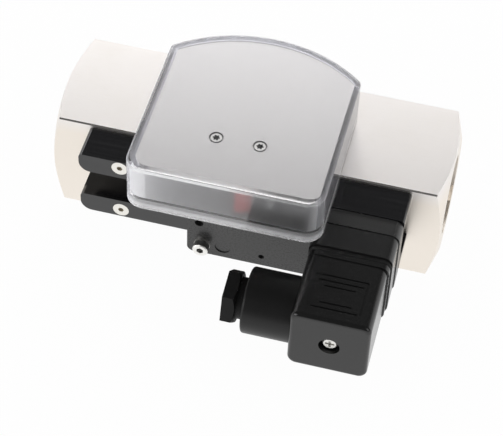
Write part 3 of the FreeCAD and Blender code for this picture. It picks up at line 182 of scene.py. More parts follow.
class Paint:
    """A material's or the world's node tree."""

    def __init__(self, owner: Union[bpy.types.Material, bpy.types.World]) -> None:
        """Clears the owner's nodes, so that the tree starts empty.

        Args:
            owner: the material or the world that the tree belongs to.
        """
        owner.use_nodes = True
        self.owner = owner
        self.tree = owner.node_tree
        self.tree.nodes.clear()

    def add(self, kind: str, settings: Optional[Dict[str, Any]] = None,
            sockets: Optional[Dict[Union[str, int], Any]] = None, output: Union[str, int] = 0) -> Wire:
        """Adds one node.

        Args:
            kind: the node's type.
            settings: values of the node's own settings, set first; stops fills a colour ramp.
            sockets: values or wires of its inputs, by name or number.
            output: which output to hand back.

        Returns:
            The chosen output; an output node has none.
        """
        node = self.tree.nodes.new(kind)
        for key, value in (settings or {}).items():
            if key == "stops":
                self._fill_ramp(node.color_ramp, value)
            else:
                setattr(node, key, value)
        for key, value in (sockets or {}).items():
            if isinstance(value, Wire):
                self.tree.links.new(value.socket, node.inputs[key])
            else:
                node.inputs[key].default_value = value
        return Wire(self, node.outputs[output]) if node.outputs else None

    @staticmethod
    def _fill_ramp(ramp: bpy.types.ColorRamp, stops: Stops) -> None:
        """Puts grey stops into a colour ramp.

        Args:
            ramp: the colour ramp.
            stops: places and their levels.
        """
        while len(ramp.elements) < len(stops):
            ramp.elements.new(1.0)
        for element, (place, level) in zip(ramp.elements, stops):
            element.position = place
            element.color = (level, level, level, 1.0)

    def place(self, stretch: Triple) -> Wire:
        """Object coordinates, stretched along each axis."""
        spot = self.add("ShaderNodeTexCoord", output="Object")
        return self.add("ShaderNodeMapping", None, {"Vector": spot, "Scale": stretch})

    def noise(self, scale: float, detail: float = 2.0, stretch: Triple = (1, 1, 1)) -> Wire:
        """Cloudy values about one half.

        Args:
            scale: clouds per metre.
            detail: octaves.
            stretch: scale along each axis.

        Returns:
            The noise's value.
        """
        return self.add("ShaderNodeTexNoise", None,
                        {"Vector": self.place(stretch), "Scale": scale, "Detail": detail})

    def ramp(self, value: Wire, stops: Stops) -> Wire:
        """A value run through grey stops."""
        return self.add("ShaderNodeValToRGB", {"stops": stops}, {0: value})

    def mixed(self, first: Union[Wire, Colour], second: Union[Wire, Colour], share: Value) -> Wire:
        """A colour between two others.

        Args:
            first: colour at a share of 0.
            second: colour at a share of 1.
            share: how much of the second.

        Returns:
            The colour.
        """
        ends = [c if isinstance(c, Wire) else (*c, 1.0) for c in (first, second)]
        return self.add("ShaderNodeMix", {"data_type": "RGBA"}, {0: share, 6: ends[0], 7: ends[1]}, 2)

    def along(self, axis: Vector, output: str = "Object") -> Wire:
        """Measures the shaded spot along an axis.

        Args:
            axis: the axis.
            output: what is measured, an output of the coordinates.

        Returns:
            How far it reaches along the axis.
        """
        spot = self.add("ShaderNodeTexCoord", output=output)
        return self.add("ShaderNodeVectorMath", {"operation": "DOT_PRODUCT"},
                        {0: spot, 1: axis}, "Value")

    def between(self, first: Value, second: Value, share: Value) -> Wire:
        """A number between two others, by the share of the second."""
        return self.add("ShaderNodeMix", {"data_type": "FLOAT"}, {0: share, 2: first, 3: second})

    def bump(self, height: Wire, depth: float) -> Wire:
        """A normal from heights.

        Args:
            height: heights from 0 to 1.
            depth: real depth of one unit, in metres.

        Returns:
            The normal.
        """
        return self.add("ShaderNodeBump", None,
                        {"Height": height, "Distance": depth, "Strength": 1.0})

    def ray(self, kind: Ray) -> Wire:
        """One for rays of this kind, else nought."""
        return self.add("ShaderNodeLightPath", output=kind.value)

    def blend(self, first: Wire, second: Wire, share: Value) -> Wire:
        """A shader between two others."""
        return self.add("ShaderNodeMixShader", None, {0: share, 1: first, 2: second})

    def surface(self, sockets: Dict[Union[str, int], Any]) -> Wire:
        """A Principled surface with these sockets."""
        return self.add("ShaderNodeBsdfPrincipled", None, sockets)

    def close(self, shader: Wire) -> None:
        """Links the shader to the tree's output."""
        owner_kind = "World" if isinstance(self.owner, bpy.types.World) else "Material"
        self.add(f"ShaderNodeOutput{owner_kind}", None, {"Surface": shader})


@dataclass(frozen=True)
class Finish:
    """What every finish shares: its name and how its material is made."""

    name: str

    def brush(self, paint: Paint) -> Wire:
        """Lays the finish's nodes; each finish has its own."""
        raise NotImplementedError

    def make(self) -> bpy.types.Material:
        """Makes the material.

        Returns:
            The material.
        """
        material = bpy.data.materials.new(self.name)
        paint = Paint(material)
        paint.close(self.brush(paint))
        return material


@dataclass(frozen=True)
class PlatedMetal(Finish):
    """Bright plated or turned metal with faint handling scratches and cloudy polish."""

    colour: Colour
    stain: Colour
    roughness: float
    scratch_along: Triple = (1, 14, 14)
    scratch_depth: float = 4e-6
    polished_way: Optional[Vector] = None
    lower_reflection: Optional[Colour] = None
    reflection_top: float = 22 * MM
    lower_reflection_depth: float = 6 * MM
    lower_reflection_share: float = 0.85
    cloud_scale: float = 35
    cloud_edges: Stops = ((0.45, 0.0), (0.75, 1.0))
    cloud_rough: float = 0.10
    cloud_stain: float = 0.5
    scratch_scale: float = 220
    scratch_edges: Stops = ((0.60, 0.0), (0.68, 1.0))
    scratch_rough: float = 0.06
    scratch_stain: float = 0.25
    polish: float = 0.85
    polish_facing: float = 0.98

    def brush(self, paint: Paint) -> Wire:
        """Lays clouds of stain, fine scratches and a varying polish, and a painted warm reflection lower
        down.

        Args:
            paint: the material's nodes.

        Returns:
            The surface.
        """
        clouds = paint.noise(self.cloud_scale, detail=4.0)
        hairs = paint.noise(self.scratch_scale, detail=3.0, stretch=self.scratch_along)
        scratches = paint.ramp(hairs, self.scratch_edges)
        stained = paint.ramp(clouds, self.cloud_edges)
        rough = self.roughness + self.cloud_rough * clouds + self.scratch_rough * scratches
        if self.polished_way:
            facing = paint.along(self.polished_way, "Normal").above(self.polish_facing)
            rough = rough * (1 - self.polish * facing)
        share = stained * self.cloud_stain + scratches * self.scratch_stain
        colour = paint.mixed(self.colour, self.stain, share)
        # painted reflection: below the top level the colour turns warmer, standing for a warm floor seen
        # in the sides
        if self.lower_reflection:
            deep = (self.reflection_top - paint.along(Axis.Z.value)) * (1 / self.lower_reflection_depth)
            share = paint.ramp(deep, [(0.0, 0.0), (1.0, self.lower_reflection_share)])
            colour = paint.mixed(colour, self.lower_reflection, share)
        return paint.surface({
            "Base Color": colour,
            "Metallic": 1.0,
            "Roughness": rough,
            "Normal": paint.bump(1 - scratches, self.scratch_depth),
        })


@dataclass(frozen=True)
class ShadedBelowMetal(Finish):
    """Metal that is bright on its face, with painted shade below that level."""

    colour: Colour
    shade_colour: Colour
    axis: Vector
    level: float
    roughness: float = 0.30
    swirl_scale: float = 900
    swirl_rough: float = 0.15
    swirl_depth: float = 3.0e-6

    def brush(self, paint: Paint) -> Wire:
        """Lays the bright face over the painted shade, split at the level along the axis.

        Args:
            paint: the material's nodes.

        Returns:
            The surface.
        """
        # painted shade: everything below the level, socket and sides alike, takes the dark colour
        face_over_shade = paint.along(self.axis).above(self.level)
        swirl = paint.noise(self.swirl_scale, detail=3.0)
        return paint.surface({
            "Base Color": paint.mixed(self.shade_colour, self.colour, face_over_shade),
            "Metallic": 1.0,
            "Roughness": self.roughness + self.swirl_rough * swirl,
            "Normal": paint.bump(swirl, self.swirl_depth),
        })


@dataclass(frozen=True)
class DrawnAnodise(Finish):
    """Black anodised drawn bar with streaks along its length."""

    colour: Colour
    streak: Colour
    roughness: float
    gloss: float = 0.5
    streak_scale: float = 60
    streak_along: Triple = (0.4, 22, 22)
    streak_edges: Stops = ((0.40, 0.0), (0.72, 1.0))
    streak_rough: float = 0.10
    streak_height: float = 0.6
    tooth_scale: float = 2600
    tooth_height: float = 0.4
    relief: float = 7.0e-6

    def brush(self, paint: Paint) -> Wire:
        """Lays long streaks over a fine tooth.

        Args:
            paint: the material's nodes.

        Returns:
            The surface.
        """
        streaks = paint.noise(self.streak_scale, detail=5.0, stretch=self.streak_along)
        tooth = paint.noise(self.tooth_scale)
        share = paint.ramp(streaks, self.streak_edges)
        return paint.surface({
            "Base Color": paint.mixed(self.colour, self.streak, share),
            "Roughness": self.roughness + self.streak_rough * streaks,
            "Specular IOR Level": self.gloss,
            "Normal": paint.bump(streaks * self.streak_height + tooth * self.tooth_height, self.relief),
        })


@dataclass(frozen=True)
class MouldedPlastic(Finish):
    """Moulded plastic with an eroded grain and faint flow marks.

    Level faces carry painted shade, dark and smoother, behind the first of two distances to the front;
    they are plain from the second on.
    """

    colour: Colour
    pale: Colour
    roughness: float
    grain_depth: float = 2.0e-5
    gloss: float = 0.5
    back_shade: Optional[Tuple[float, float]] = None
    back_shade_colour: Colour = (0.006, 0.006, 0.006)
    back_shade_grain: float = 0.15
    back_shade_smoothing: float = 0.12
    level_facing: float = 0.95
    grain_scale: float = 1500
    grain_edges: Stops = ((0.5, 0.0), (0.8, 1.0))
    grain_rough: float = 0.12
    grain_share: float = 0.4
    flow_scale: float = 45
    flow_along: Triple = (1, 1.6, 0.7)
    flow_edges: Stops = ((0.35, 0.0), (0.75, 1.0))
    flow_share: float = 0.6

    def brush(self, paint: Paint) -> Wire:
        """Lays a fine grain and slow changes of shade, and painted shade on level faces towards the
        back.

        Args:
            paint: the material's nodes.

        Returns:
            The surface.
        """
        grain = paint.noise(self.grain_scale, detail=3.0)
        level: Value = 0.0
        # level faces under the painted shade lose most of their grain
        if self.back_shade:
            level = paint.along(Axis.Z.value, "Normal").above(self.level_facing)
            grain = grain * (1 - (1 - self.back_shade_grain) * level)
        flow = paint.noise(self.flow_scale, detail=3.0, stretch=self.flow_along)
        paled = paint.ramp(flow, self.flow_edges) * self.flow_share
        share = paled + paint.ramp(grain, self.grain_edges) * self.grain_share
        colour = paint.mixed(self.colour, self.pale, share)
        rough = self.roughness + self.grain_rough * grain
        # painted shade: level faces go dark and smoother towards the back, standing for the hood's shade
        if self.back_shade:
            back, front = self.back_shade
            away = (paint.along(Axis.FRONT.value) - back) * (1 / (front - back))
            deep = level * paint.ramp(away, [(0.0, 1.0), (1.0, 0.0)])
            colour = paint.mixed(colour, self.back_shade_colour, deep)
            rough = rough - self.back_shade_smoothing * deep
        return paint.surface({
            "Base Color": colour,
            "Roughness": rough,
            "Specular IOR Level": self.gloss,
            "Normal": paint.bump(grain, self.grain_depth),
        })


@dataclass(frozen=True)
class SatinSheet(Finish):
    """Satin aluminium sheet with a very fine rolled grain."""

    colour: Colour
    shade: Colour
    roughness: float
    grain_scale: float = 900
    grain_along: Triple = (0.25, 5, 5)
    grain_rough: float = 0.10
    grain_share: float = 0.4
    grain_depth: float = 2.0e-6
    cloud_scale: float = 22
    cloud_share: float = 0.6

    def brush(self, paint: Paint) -> Wire:
        """Lays a rolled grain along the sheet and slow clouds.

        Args:
            paint: the material's nodes.

        Returns:
            The surface.
        """
        grain = paint.noise(self.grain_scale, detail=3.0, stretch=self.grain_along)
        clouds = paint.noise(self.cloud_scale)
        share = clouds * self.cloud_share + grain * self.grain_share
        return paint.surface({
            "Base Color": paint.mixed(self.colour, self.shade, share),
            "Metallic": 1.0,
            "Roughness": self.roughness + self.grain_rough * grain,
            "Normal": paint.bump(grain, self.grain_depth),
        })


@dataclass(frozen=True)
class ClearMoulding(Finish):
    """Clear moulded plastic that lets shadow rays through."""

    colour: Colour
    roughness: float
    haze: float = 0.0
    through: float = 0.5
    fade: Stops = ()
    rise: Stops = ()
    index: float = 1.49
    wave_scale: float = 60
    wave_depth: float = 2.0e-5
    streak_scale: float = 500
    streak_along: Triple = (1, 1, 0.15)
    streak_rough: float = 0.3
    streak_haze: float = 0.3
    least_haze: float = 0.85

    def cloud(self, paint: Paint) -> Value:
        """Tells how hazy the surface is.

        Args:
            paint: the material's nodes.

        Returns:
            The haze; with a fade, what it gives along X, and at least the rise along Z.
        """
        if not self.fade:
            return self.haze
        across = self.run(paint, Axis.X, self.fade)
        return across.most(self.run(paint, Axis.Z, self.rise)) if self.rise else across

    @staticmethod
    def run(paint: Paint, axis: Axis, amounts: Stops) -> Wire:
        """Makes an amount that changes along an axis.

        Args:
            paint: the material's nodes.
            axis: the axis.
            amounts: places along it, in metres, and the amounts there.

        Returns:
            The amount.
        """
        first, last = amounts[0][0], amounts[-1][0]
        scale = 1 / (last - first)
        stops = [((place - first) * scale, amount) for place, amount in amounts]
        return paint.ramp((paint.along(axis.value) - first) * scale, stops)

    def brush(self, paint: Paint) -> Wire:
        """Lays a faintly wavy clear surface with some haze; light from lamps passes it.

        Args:
            paint: the material's nodes.

        Returns:
            The surface.
        """
        waves = paint.noise(self.wave_scale)
        streaks = paint.noise(self.streak_scale, detail=3.0, stretch=self.streak_along)
        glass = paint.surface({
            "Base Color": (*self.colour, 1.0),
            "Roughness": self.roughness + self.streak_rough * self.roughness * streaks,
            "IOR": self.index,
            "Transmission Weight": 1.0,
            "Normal": paint.bump(waves, self.wave_depth),
        })
        skin, glow, open_air = (
            paint.add(f"ShaderNodeBsdf{kind}", None, {"Color": (*self.colour, 1.0)})
            for kind in ("Diffuse", "Translucent", "Transparent")
        )
        milk = paint.blend(skin, glow, self.through)
        cloud = self.cloud(paint) * (self.least_haze + self.streak_haze * streaks)
        body = paint.blend(glass, milk, cloud)
        return paint.blend(body, open_air, paint.ray(Ray.SHADOW))


@dataclass(frozen=True)
class SoftRubber(Finish):
    """Matt rubber with a dusty bloom."""

    colour: Colour
    bloom: Colour
    roughness: float = 0.62
    gloss: float = 0.35
    dust_scale: float = 380
    dust_edges: Stops = ((0.45, 0.0), (0.8, 1.0))
    dust_rough: float = 0.2
    dust_depth: float = 1.5e-5

    def brush(self, paint: Paint) -> Wire:
        """Lays a dusty bloom over a smooth skin.

        Args:
            paint: the material's nodes.

        Returns:
            The surface.
        """
        dust = paint.noise(self.dust_scale, detail=4.0)
        return paint.surface({
            "Base Color": paint.mixed(self.colour, self.bloom, paint.ramp(dust, self.dust_edges)),
            "Roughness": self.roughness + self.dust_rough * dust,
            "Specular IOR Level": self.gloss,
            "Normal": paint.bump(dust, self.dust_depth),
        })


@dataclass(frozen=True)
class GlossPaint(Finish):
    """Sprayed gloss paint with a light orange peel."""

    colour: Colour
    deep: Colour
    roughness: float = 0.28
    coat: float = 0.4
    peel_scale: float = 700
    peel_share: float = 0.5
    peel_rough: float = 0.1
    peel_depth: float = 1.0e-5

    def brush(self, paint: Paint) -> Wire:
        """Lays a light orange peel under a clear coat.

        Args:
            paint: the material's nodes.

        Returns:
            The surface.
        """
        peel = paint.noise(self.peel_scale, detail=1.0)
        return paint.surface({
            "Base Color": paint.mixed(self.colour, self.deep, peel * self.peel_share),
            "Roughness": self.roughness + self.peel_rough * peel,
            "Coat Weight": self.coat,
            "Normal": paint.bump(peel, self.peel_depth),
        })


@dataclass(frozen=True)
class SinteredMagnet(Finish):
    """Dark sintered magnet with a coarse speckle."""

    colour: Colour
    speck: Colour
    roughness: float = 0.4
    metal: float = 0.6
    speck_scale: float = 2200
    speck_edges: Stops = ((0.58, 0.0), (0.66, 1.0))
    speck_rough: float = 0.3
    speck_depth: float = 3.0e-5

    def brush(self, paint: Paint) -> Wire:
        """Lays bright specks over a dark grainy body.

        Args:
            paint: the material's nodes.

        Returns:
            The surface.
        """
        specks = paint.noise(self.speck_scale)
        return paint.surface({
            "Base Color": paint.mixed(self.colour, self.speck, paint.ramp(specks, self.speck_edges)),
            "Metallic": self.metal,
            "Roughness": self.roughness + self.speck_rough * specks,
            "Normal": paint.bump(specks, self.speck_depth),
        })


def set_up(name: str, data: bpy.types.ID) -> bpy.types.Object:
    """Puts an object with this data into the scene.

    Args:
        name: name of the object.
        data: its mesh, lamp or camera.

    Returns:
        The object.
    """
    thing = bpy.data.objects.new(name, data)
    bpy.context.scene.collection.objects.link(thing)
    return thing


def new_piece(name: str, bm: bmesh.types.BMesh, *materials: bpy.types.Material,
              smooth: bool = True) -> bpy.types.Object:
    """Turns a finished bmesh into an object at the origin.

    Args:
        name: name of the piece.
        bm: its mesh, in the shared frame; it is freed here.
        materials: its finishes, in the order of its faces' material numbers.
        smooth: whether its faces shade smoothly.

    Returns:
        The object.
    """
    bmesh.ops.remove_doubles(bm, verts=bm.verts, dist=WELD)
    bmesh.ops.recalc_face_normals(bm, faces=bm.faces)
    for face in bm.faces:
        face.smooth = smooth
    mesh = bpy.data.meshes.new(name)
    bm.to_mesh(mesh)
    bm.free()
    for material in materials:
        mesh.materials.append(material)
    LOG.info("piece %s: %d faces", name, len(mesh.polygons))
    return set_up(name, mesh)


def sharpen(piece: bpy.types.Object, degrees: float = CREASE) -> None:
    """Splits a smooth piece's shading at its sharp edges.

    Args:
        piece: the piece.
        degrees: an edge that turns more than this is sharp.
    """
    bm = bmesh.new()
    bm.from_mesh(piece.data)
    limit = math.radians(degrees)
    for edge in bm.edges:
        edge.smooth = not (edge.is_manifold and edge.calc_face_angle(0.0) > limit)
    bm.to_mesh(piece.data)
    bm.free()


def dress(names: Iterable[str], material: bpy.types.Material) -> None:
    """Gives CAD nodes a finish.

    Args:
        names: the nodes.
        material: their finish.
    """
    for name in names:
        node = bpy.data.objects[name]
        if not node.material_slots:
            node.data.materials.append(material)
        for material_slot in node.material_slots:
            material_slot.material = material
        LOG.info("node %s: %s", name, material.name)


def attach(piece: bpy.types.Object, body: Body, slot: Slot, *nodes: str) -> None:
    """Sets a new piece on its body.

    Args:
        piece: the piece.
        body: the body that it moves with.
        slot: the record's slot for its finish; not used.
        nodes: CAD nodes that it stands for.
    """
    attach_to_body(piece, body.value)
    if nodes:
        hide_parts(*nodes)


def set_along(bm: bmesh.types.BMesh, place: Vector, axis: Vector) -> None:
    """Moves a mesh drawn up the Z axis at the origin to a place along another axis.

    Args:
        bm: the mesh.
        place: where its origin goes.
        axis: where its Z axis points.
    """
    turn = Axis.Z.value.rotation_difference(axis).to_matrix().to_4x4()
    bmesh.ops.transform(bm, matrix=Matrix.Translation(place) @ turn, verts=bm.verts)


def raise_step(bm: bmesh.types.BMesh, face: bmesh.types.BMFace, inward: float, up: float) -> None:
    """Insets a face and raises what is inside.

    Args:
        bm: the mesh.
        face: the face, which stays the inner one.
        inward: width of the inset.
        up: how far the inner face is raised along Z.
    """
    bmesh.ops.inset_region(bm, faces=[face], thickness=inward, use_even_offset=True)
    bmesh.ops.translate(bm, verts=face.verts, vec=(0, 0, up))


def push(bm: bmesh.types.BMesh, face: bmesh.types.BMFace, up: float) -> bmesh.types.BMFace:
    """Pushes a face along Z with walls behind it.

    The old face stays as the back of what is raised; a recess loses it.

    Args:
        bm: the mesh.
        face: the face.
        up: how far it goes; a recess has a negative value.

    Returns:
        The pushed face.
    """
    pushed = bmesh.ops.extrude_face_region(bm, geom=[face])["geom"]
    moved = [item for item in pushed if isinstance(item, bmesh.types.BMVert)]
    bmesh.ops.translate(bm, verts=moved, vec=(0, 0, up))
    if face.is_valid and up < 0:
        bmesh.ops.delete(bm, geom=[face], context="FACES_ONLY")
    return next(item for item in pushed if isinstance(item, bmesh.types.BMFace))


def add_shank(bm: bmesh.types.BMesh, radius: float, length: float, sides: int) -> None:
    """Adds a closed round shank that hangs from the origin down the Z axis.

    Args:
        bm: the mesh.
        radius: radius of the shank.
        length: how far it reaches down.
        sides: flat sides that stand for its round.
    """
    bmesh.ops.create_cone(bm, cap_ends=True, segments=sides, radius1=radius, radius2=radius,
                          depth=length, matrix=Matrix.Translation((0, 0, -length / 2)))


def coil(bm: bmesh.types.BMesh, loop: List[bmesh.types.BMVert], pitch: float, turns: float,
         steps: int) -> None:
    """Winds a closed loop of vertices about the X axis into a helix with closed ends.

    Args:
        bm: the mesh that holds the loop.
        loop: its vertices in order.
        pitch: advance in a turn, in metres.
        turns: number of turns.
        steps: steps in a turn.
    """
    start = bm.faces.new(loop)
    spun = bmesh.ops.spin(
        bm, geom=[*loop, *start.edges], cent=(0, 0, 0), axis=Axis.X.value,
        dvec=(pitch / steps, 0, 0), angle=2 * math.pi * turns, steps=round(turns * steps),
    )["geom_last"]
    last = [item for item in spun if isinstance(item, bmesh.types.BMEdge)]
    bmesh.ops.contextual_create(bm, geom=last)


@dataclass
class FlowBody:
    """Square plated body with its port threads, and what is fixed in its bore."""

    length: float = 150 * MM
    port_radius: float = 15.15 * MM
    thread_pitch: float = 2.309 * MM
    thread_rise: float = 0.75 * MM
    thread_root: float = 0.06 * MM
    thread_flat: float = 0.35 * MM
    thread_start: float = 1.2 * MM
    thread_turns: float = 6.6
    thread_steps: int = 60
    thread_crease: float = 35.0
    spring_radius: float = 3.3 * MM
    spring_wire: float = 0.8 * MM
    spring_turns: int = 10
    spring_steps: int = 40
    wire_sides: int = 10

    def build(self, finishes: Finishes, travel: float) -> None:
        """Dresses the nodes and models the threads and the spring.

        Args:
            finishes: the finishes by name.
            travel: how far the float rises, in metres.
        """
        nickel = finishes["nickel"]
        steel = finishes["steel"]
        dress(["body_block"], nickel)
        dress(["inlet_spider", "outlet_spider", "metering_sleeve"], finishes["brass"])
        dress(["guide_rod", "retaining_rings"], steel)
        dress(["sleeve_oring"], finishes["black_rubber"])
        attach(self.thread("inlet_thread", 0.0, 1.0, nickel), Body.BASE, Slot.NICKEL)
        attach(self.thread("outlet_thread", self.length, -1.0, nickel), Body.BASE, Slot.NICKEL)
        self.spring(steel, travel)

    def thread(self, name: str, mouth: float, inward: float,
               material: bpy.types.Material) -> bpy.types.Object:
        """Models the ridge of one pipe thread.

        Args:
            name: name of the piece.
            mouth: place of the port's mouth along X.
            inward: direction into the port along X.
            material: its finish.

        Returns:
            The piece.
        """
        bm = bmesh.new()
        root = self.port_radius + self.thread_root
        crest = self.port_radius - self.thread_rise
        half = self.thread_pitch / 2
        start = mouth + inward * self.thread_start
        flat = self.thread_flat / 2
        outline = [(-half, root), (-flat, crest), (flat, crest), (half, root)]
        loop = [bm.verts.new((start + inward * (half + along), 0, radius)) for along, radius in outline]
        coil(bm, loop, inward * self.thread_pitch, self.thread_turns, self.thread_steps)
        piece = new_piece(name, bm, material)
        sharpen(piece, self.thread_crease)
        return piece

    def spring(self, steel: bpy.types.Material, travel: float) -> None:
        """Models the return spring at its rest length.

        Args:
            steel: its finish.
            travel: how far the float rises, in metres.
        """
        low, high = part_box("return_spring")
        bm = bmesh.new()
        pitch = (high.x - low.x - self.spring_wire) / self.spring_turns
        ring = bmesh.ops.create_circle(
            bm, segments=self.wire_sides, radius=self.spring_wire / 2,
            matrix=Matrix.Translation((low.x + self.spring_wire / 2, 0, self.spring_radius))
            @ Matrix.Rotation(math.pi / 2, 4, "X"),
        )["verts"]
        coil(bm, ring, pitch, self.spring_turns, self.spring_steps)
        piece = new_piece("return_coil", bm, steel)
        attach(piece, Body.BASE, Slot.STEEL, "return_spring")
        rest = high.x - low.x
        1 - travel / rest
        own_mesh(piece)


@dataclass
class FloatTrain:
    """Float on its rod: head, bush, ring magnets and lock nut."""

    metal_nodes: Tuple[str, ...] = ("float_body", "float_locknut")

    def build(self, finishes: Finishes) -> None:
        """Dresses the float's nodes.

        Args:
            finishes: the finishes by name.
        """
        dress(self.metal_nodes, finishes["brass"])
        dress(["float_bush"], finishes["pale_plastic"])
        dress(["float_magnets"], finishes["magnet"])


@dataclass
class Indicator:
    """Hood, plate and pointer on top of the body."""

    steel_nodes: Tuple[str, ...] = (
        "base_screws", "plate_pillars", "pivot_shaft", "pivot_clip",
    )
    wall_slope: float = 0.62
    lip_height: float = 1.7 * MM
    rim_height: float = 3.5 * MM
    gap_height: float = 4.7 * MM
    corner_end: float = 0.60
    edge_facing: float = 0.45
    edge_rise: float = 0.05
    back_facing: float = 0.5
    left_facing: float = 0.7
    face_depth: float = 0.05 * MM
    screw_radius: float = 2.1 * MM
    screw_height: float = 1.0 * MM
    screw_edge: float = 0.08 * MM
    screw_sides: int = 72
    screw_face: Colour = (0.74, 0.73, 0.71)
    screw_shade: Colour = (0.012, 0.012, 0.012)
    shank_radius: float = 1.4 * MM
    shank_sides: int = 32
    recess_radius: float = 1.20 * MM
    recess_depth: float = 0.7 * MM
    lobes: int = 6
    lobe_rise: float = 0.22 * MM

    def build(self, finishes: Finishes) -> None:
        """Dresses the indicator's nodes.

        Args:
            finishes: the finishes by name.
        """
        self.hood(finishes)
        dress(["hood_seal"], finishes["grey_rubber"])
        dress(["indicator_base"], finishes["grey_plastic"])
        dress(["dial_plate", "pointer_arm"], finishes["satin_plate"])
        dress(self.steel_nodes, finishes["steel"])
        self.dial_screws()
        dress(["pointer_hub"], finishes["brass"])
        dress(["follower_magnet"], finishes["magnet"])
        dress(["pointer_flag"], finishes["red_paint"])
        # the black pointer stop also stands for the shade behind the hood's right front wall
        dress(["pointer_stop"], finishes["black_plastic"])

    def dial_screws(self) -> None:
        """Models the plate's two flush screws, with six-lobe recesses in bright faces; recesses and
        sides carry painted shade.
        """
        low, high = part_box("dial_screws")
        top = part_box("dial_plate")[1].z - self.face_depth
        neck = top - self.screw_height
        bm = bmesh.new()
        bmesh.ops.create_circle(bm, cap_ends=True, segments=self.screw_sides, radius=self.screw_radius)
        face = push(bm, bm.faces[:][0], self.screw_height - self.screw_edge)
        raise_step(bm, face, self.screw_edge, self.screw_edge)
        raise_step(bm, face, self.screw_radius - self.screw_edge - self.recess_radius, 0.0)
        for vert in face.verts:
            swing = math.cos(self.lobes * math.atan2(vert.co.y, vert.co.x))
            vert.co.xy = vert.co.xy.normalized() * (self.recess_radius + self.lobe_rise * swing)
        push(bm, face, -self.recess_depth)
        add_shank(bm, self.shank_radius, neck - low.z, self.shank_sides)
        set_along(bm, Vector((low.x + self.screw_radius, (low.y + high.y) / 2, neck)), Axis.Z.value)
        second = bmesh.ops.duplicate(bm, geom=[*bm.verts, *bm.edges, *bm.faces])["geom"]
        moved = [item for item in second if isinstance(item, bmesh.types.BMVert)]
        bmesh.ops.translate(bm, verts=moved, vec=(high.x - low.x - 2 * self.screw_radius, 0, 0))
        # the near-black colour below the face is painted shade in the recess and round the head
        face_over_shade = ShadedBelowMetal("dial_screw_steel", self.screw_face, self.screw_shade,
                            Axis.Z.value, top - self.screw_edge)
        piece = new_piece("dial_lobe_screws", bm, face_over_shade.make())
        sharpen(piece)
        attach(piece, Body.BASE, Slot.STEEL, "dial_screws")

    def hood(self, finishes: Finishes) -> None:
        """Models the hood again from its node, with the moulding's zones on the inside of its walls; the
        haze of some zones is painted light.

        Args:
            finishes: the finishes by name.
        """
        low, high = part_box("hood")
        middle = (low + high) / 2
        bm = bmesh.new()
        bm.from_mesh(bpy.data.objects["hood"].data)
        bmesh.ops.remove_doubles(bm, verts=bm.verts, dist=WELD)
        for height in (self.lip_height, self.rim_height, self.gap_height):
            bmesh.ops.bisect_plane(bm, geom=[*bm.verts, *bm.edges, *bm.faces], dist=CUT_REACH,
                                   plane_co=(0, 0, low.z + height), plane_no=Axis.Z.value)
        bmesh.ops.recalc_face_normals(bm, faces=bm.faces)
        zones = list(HoodZone)
        for face in bm.faces:
            spot = face.calc_center_median()
            inner = face.normal.xy.dot((spot - middle).xy) < 0
            wall = abs(face.normal.z) < self.wall_slope
            zone = self.zone(face.normal, spot.z - low.z, inner) if wall else HoodZone.POLISHED
            face.material_index = zones.index(zone)
        piece = new_piece("hood_shell", bm, *(finishes[zone.value] for zone in zones))
        sharpen(piece)
        even = piece.modifiers.new("even", "WEIGHTED_NORMAL")
        even.mode = "FACE_AREA_WITH_ANGLE"
        even.keep_sharp = True
        attach(piece, Body.BASE, Slot.CLEAR, "hood")

    def zone(self, normal: Vector, height: float, inner: bool) -> HoodZone:
        """Tells the zone of a wall face.

        Args:
            normal: the face's normal.
            height: its middle's height above the hood's bottom.
            inner: whether it is on the inside.

        Returns:
            The zone.
        """
        # painted highlight: the outer front top edge takes a white haze
        if not inner and normal.y < -self.edge_facing and normal.z > self.edge_rise:
            return HoodZone.EDGE
        if not inner:
            veiled = normal.y > self.back_facing or normal.x < -self.left_facing
            return HoodZone.SIDE if veiled else HoodZone.POLISHED
        if height < self.lip_height:
            return HoodZone.LIP
        if height < self.rim_height:
            return HoodZone.RIM
        if height < self.gap_height:
            return HoodZone.POLISHED
        return HoodZone.FRONT if normal.y > self.corner_end else HoodZone.SIDE


@dataclass
class Rails:
    """Two rails with a lip, screwed to the front of the body."""

    face_depth: float = 0.15 * MM
    screw_face: Colour = (0.88, 0.86, 0.81)
    screw_shade: Colour = (0.62, 0.58, 0.50)

    def build(self, finishes: Finishes) -> None:
        """Dresses the rails and their screws.

        Args:
            finishes: the finishes by name.
        """
        dress(["upper_rail", "lower_rail"], finishes["black_anodised"])
        # the rail screws' sockets carry painted shade below their faces
        level = -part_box("rail_screws")[0].y - self.face_depth
        face_over_shade = ShadedBelowMetal("rail_screw_steel", self.screw_face, self.screw_shade,
                            Axis.FRONT.value, level)
        dress(["rail_screws"], face_over_shade.make())


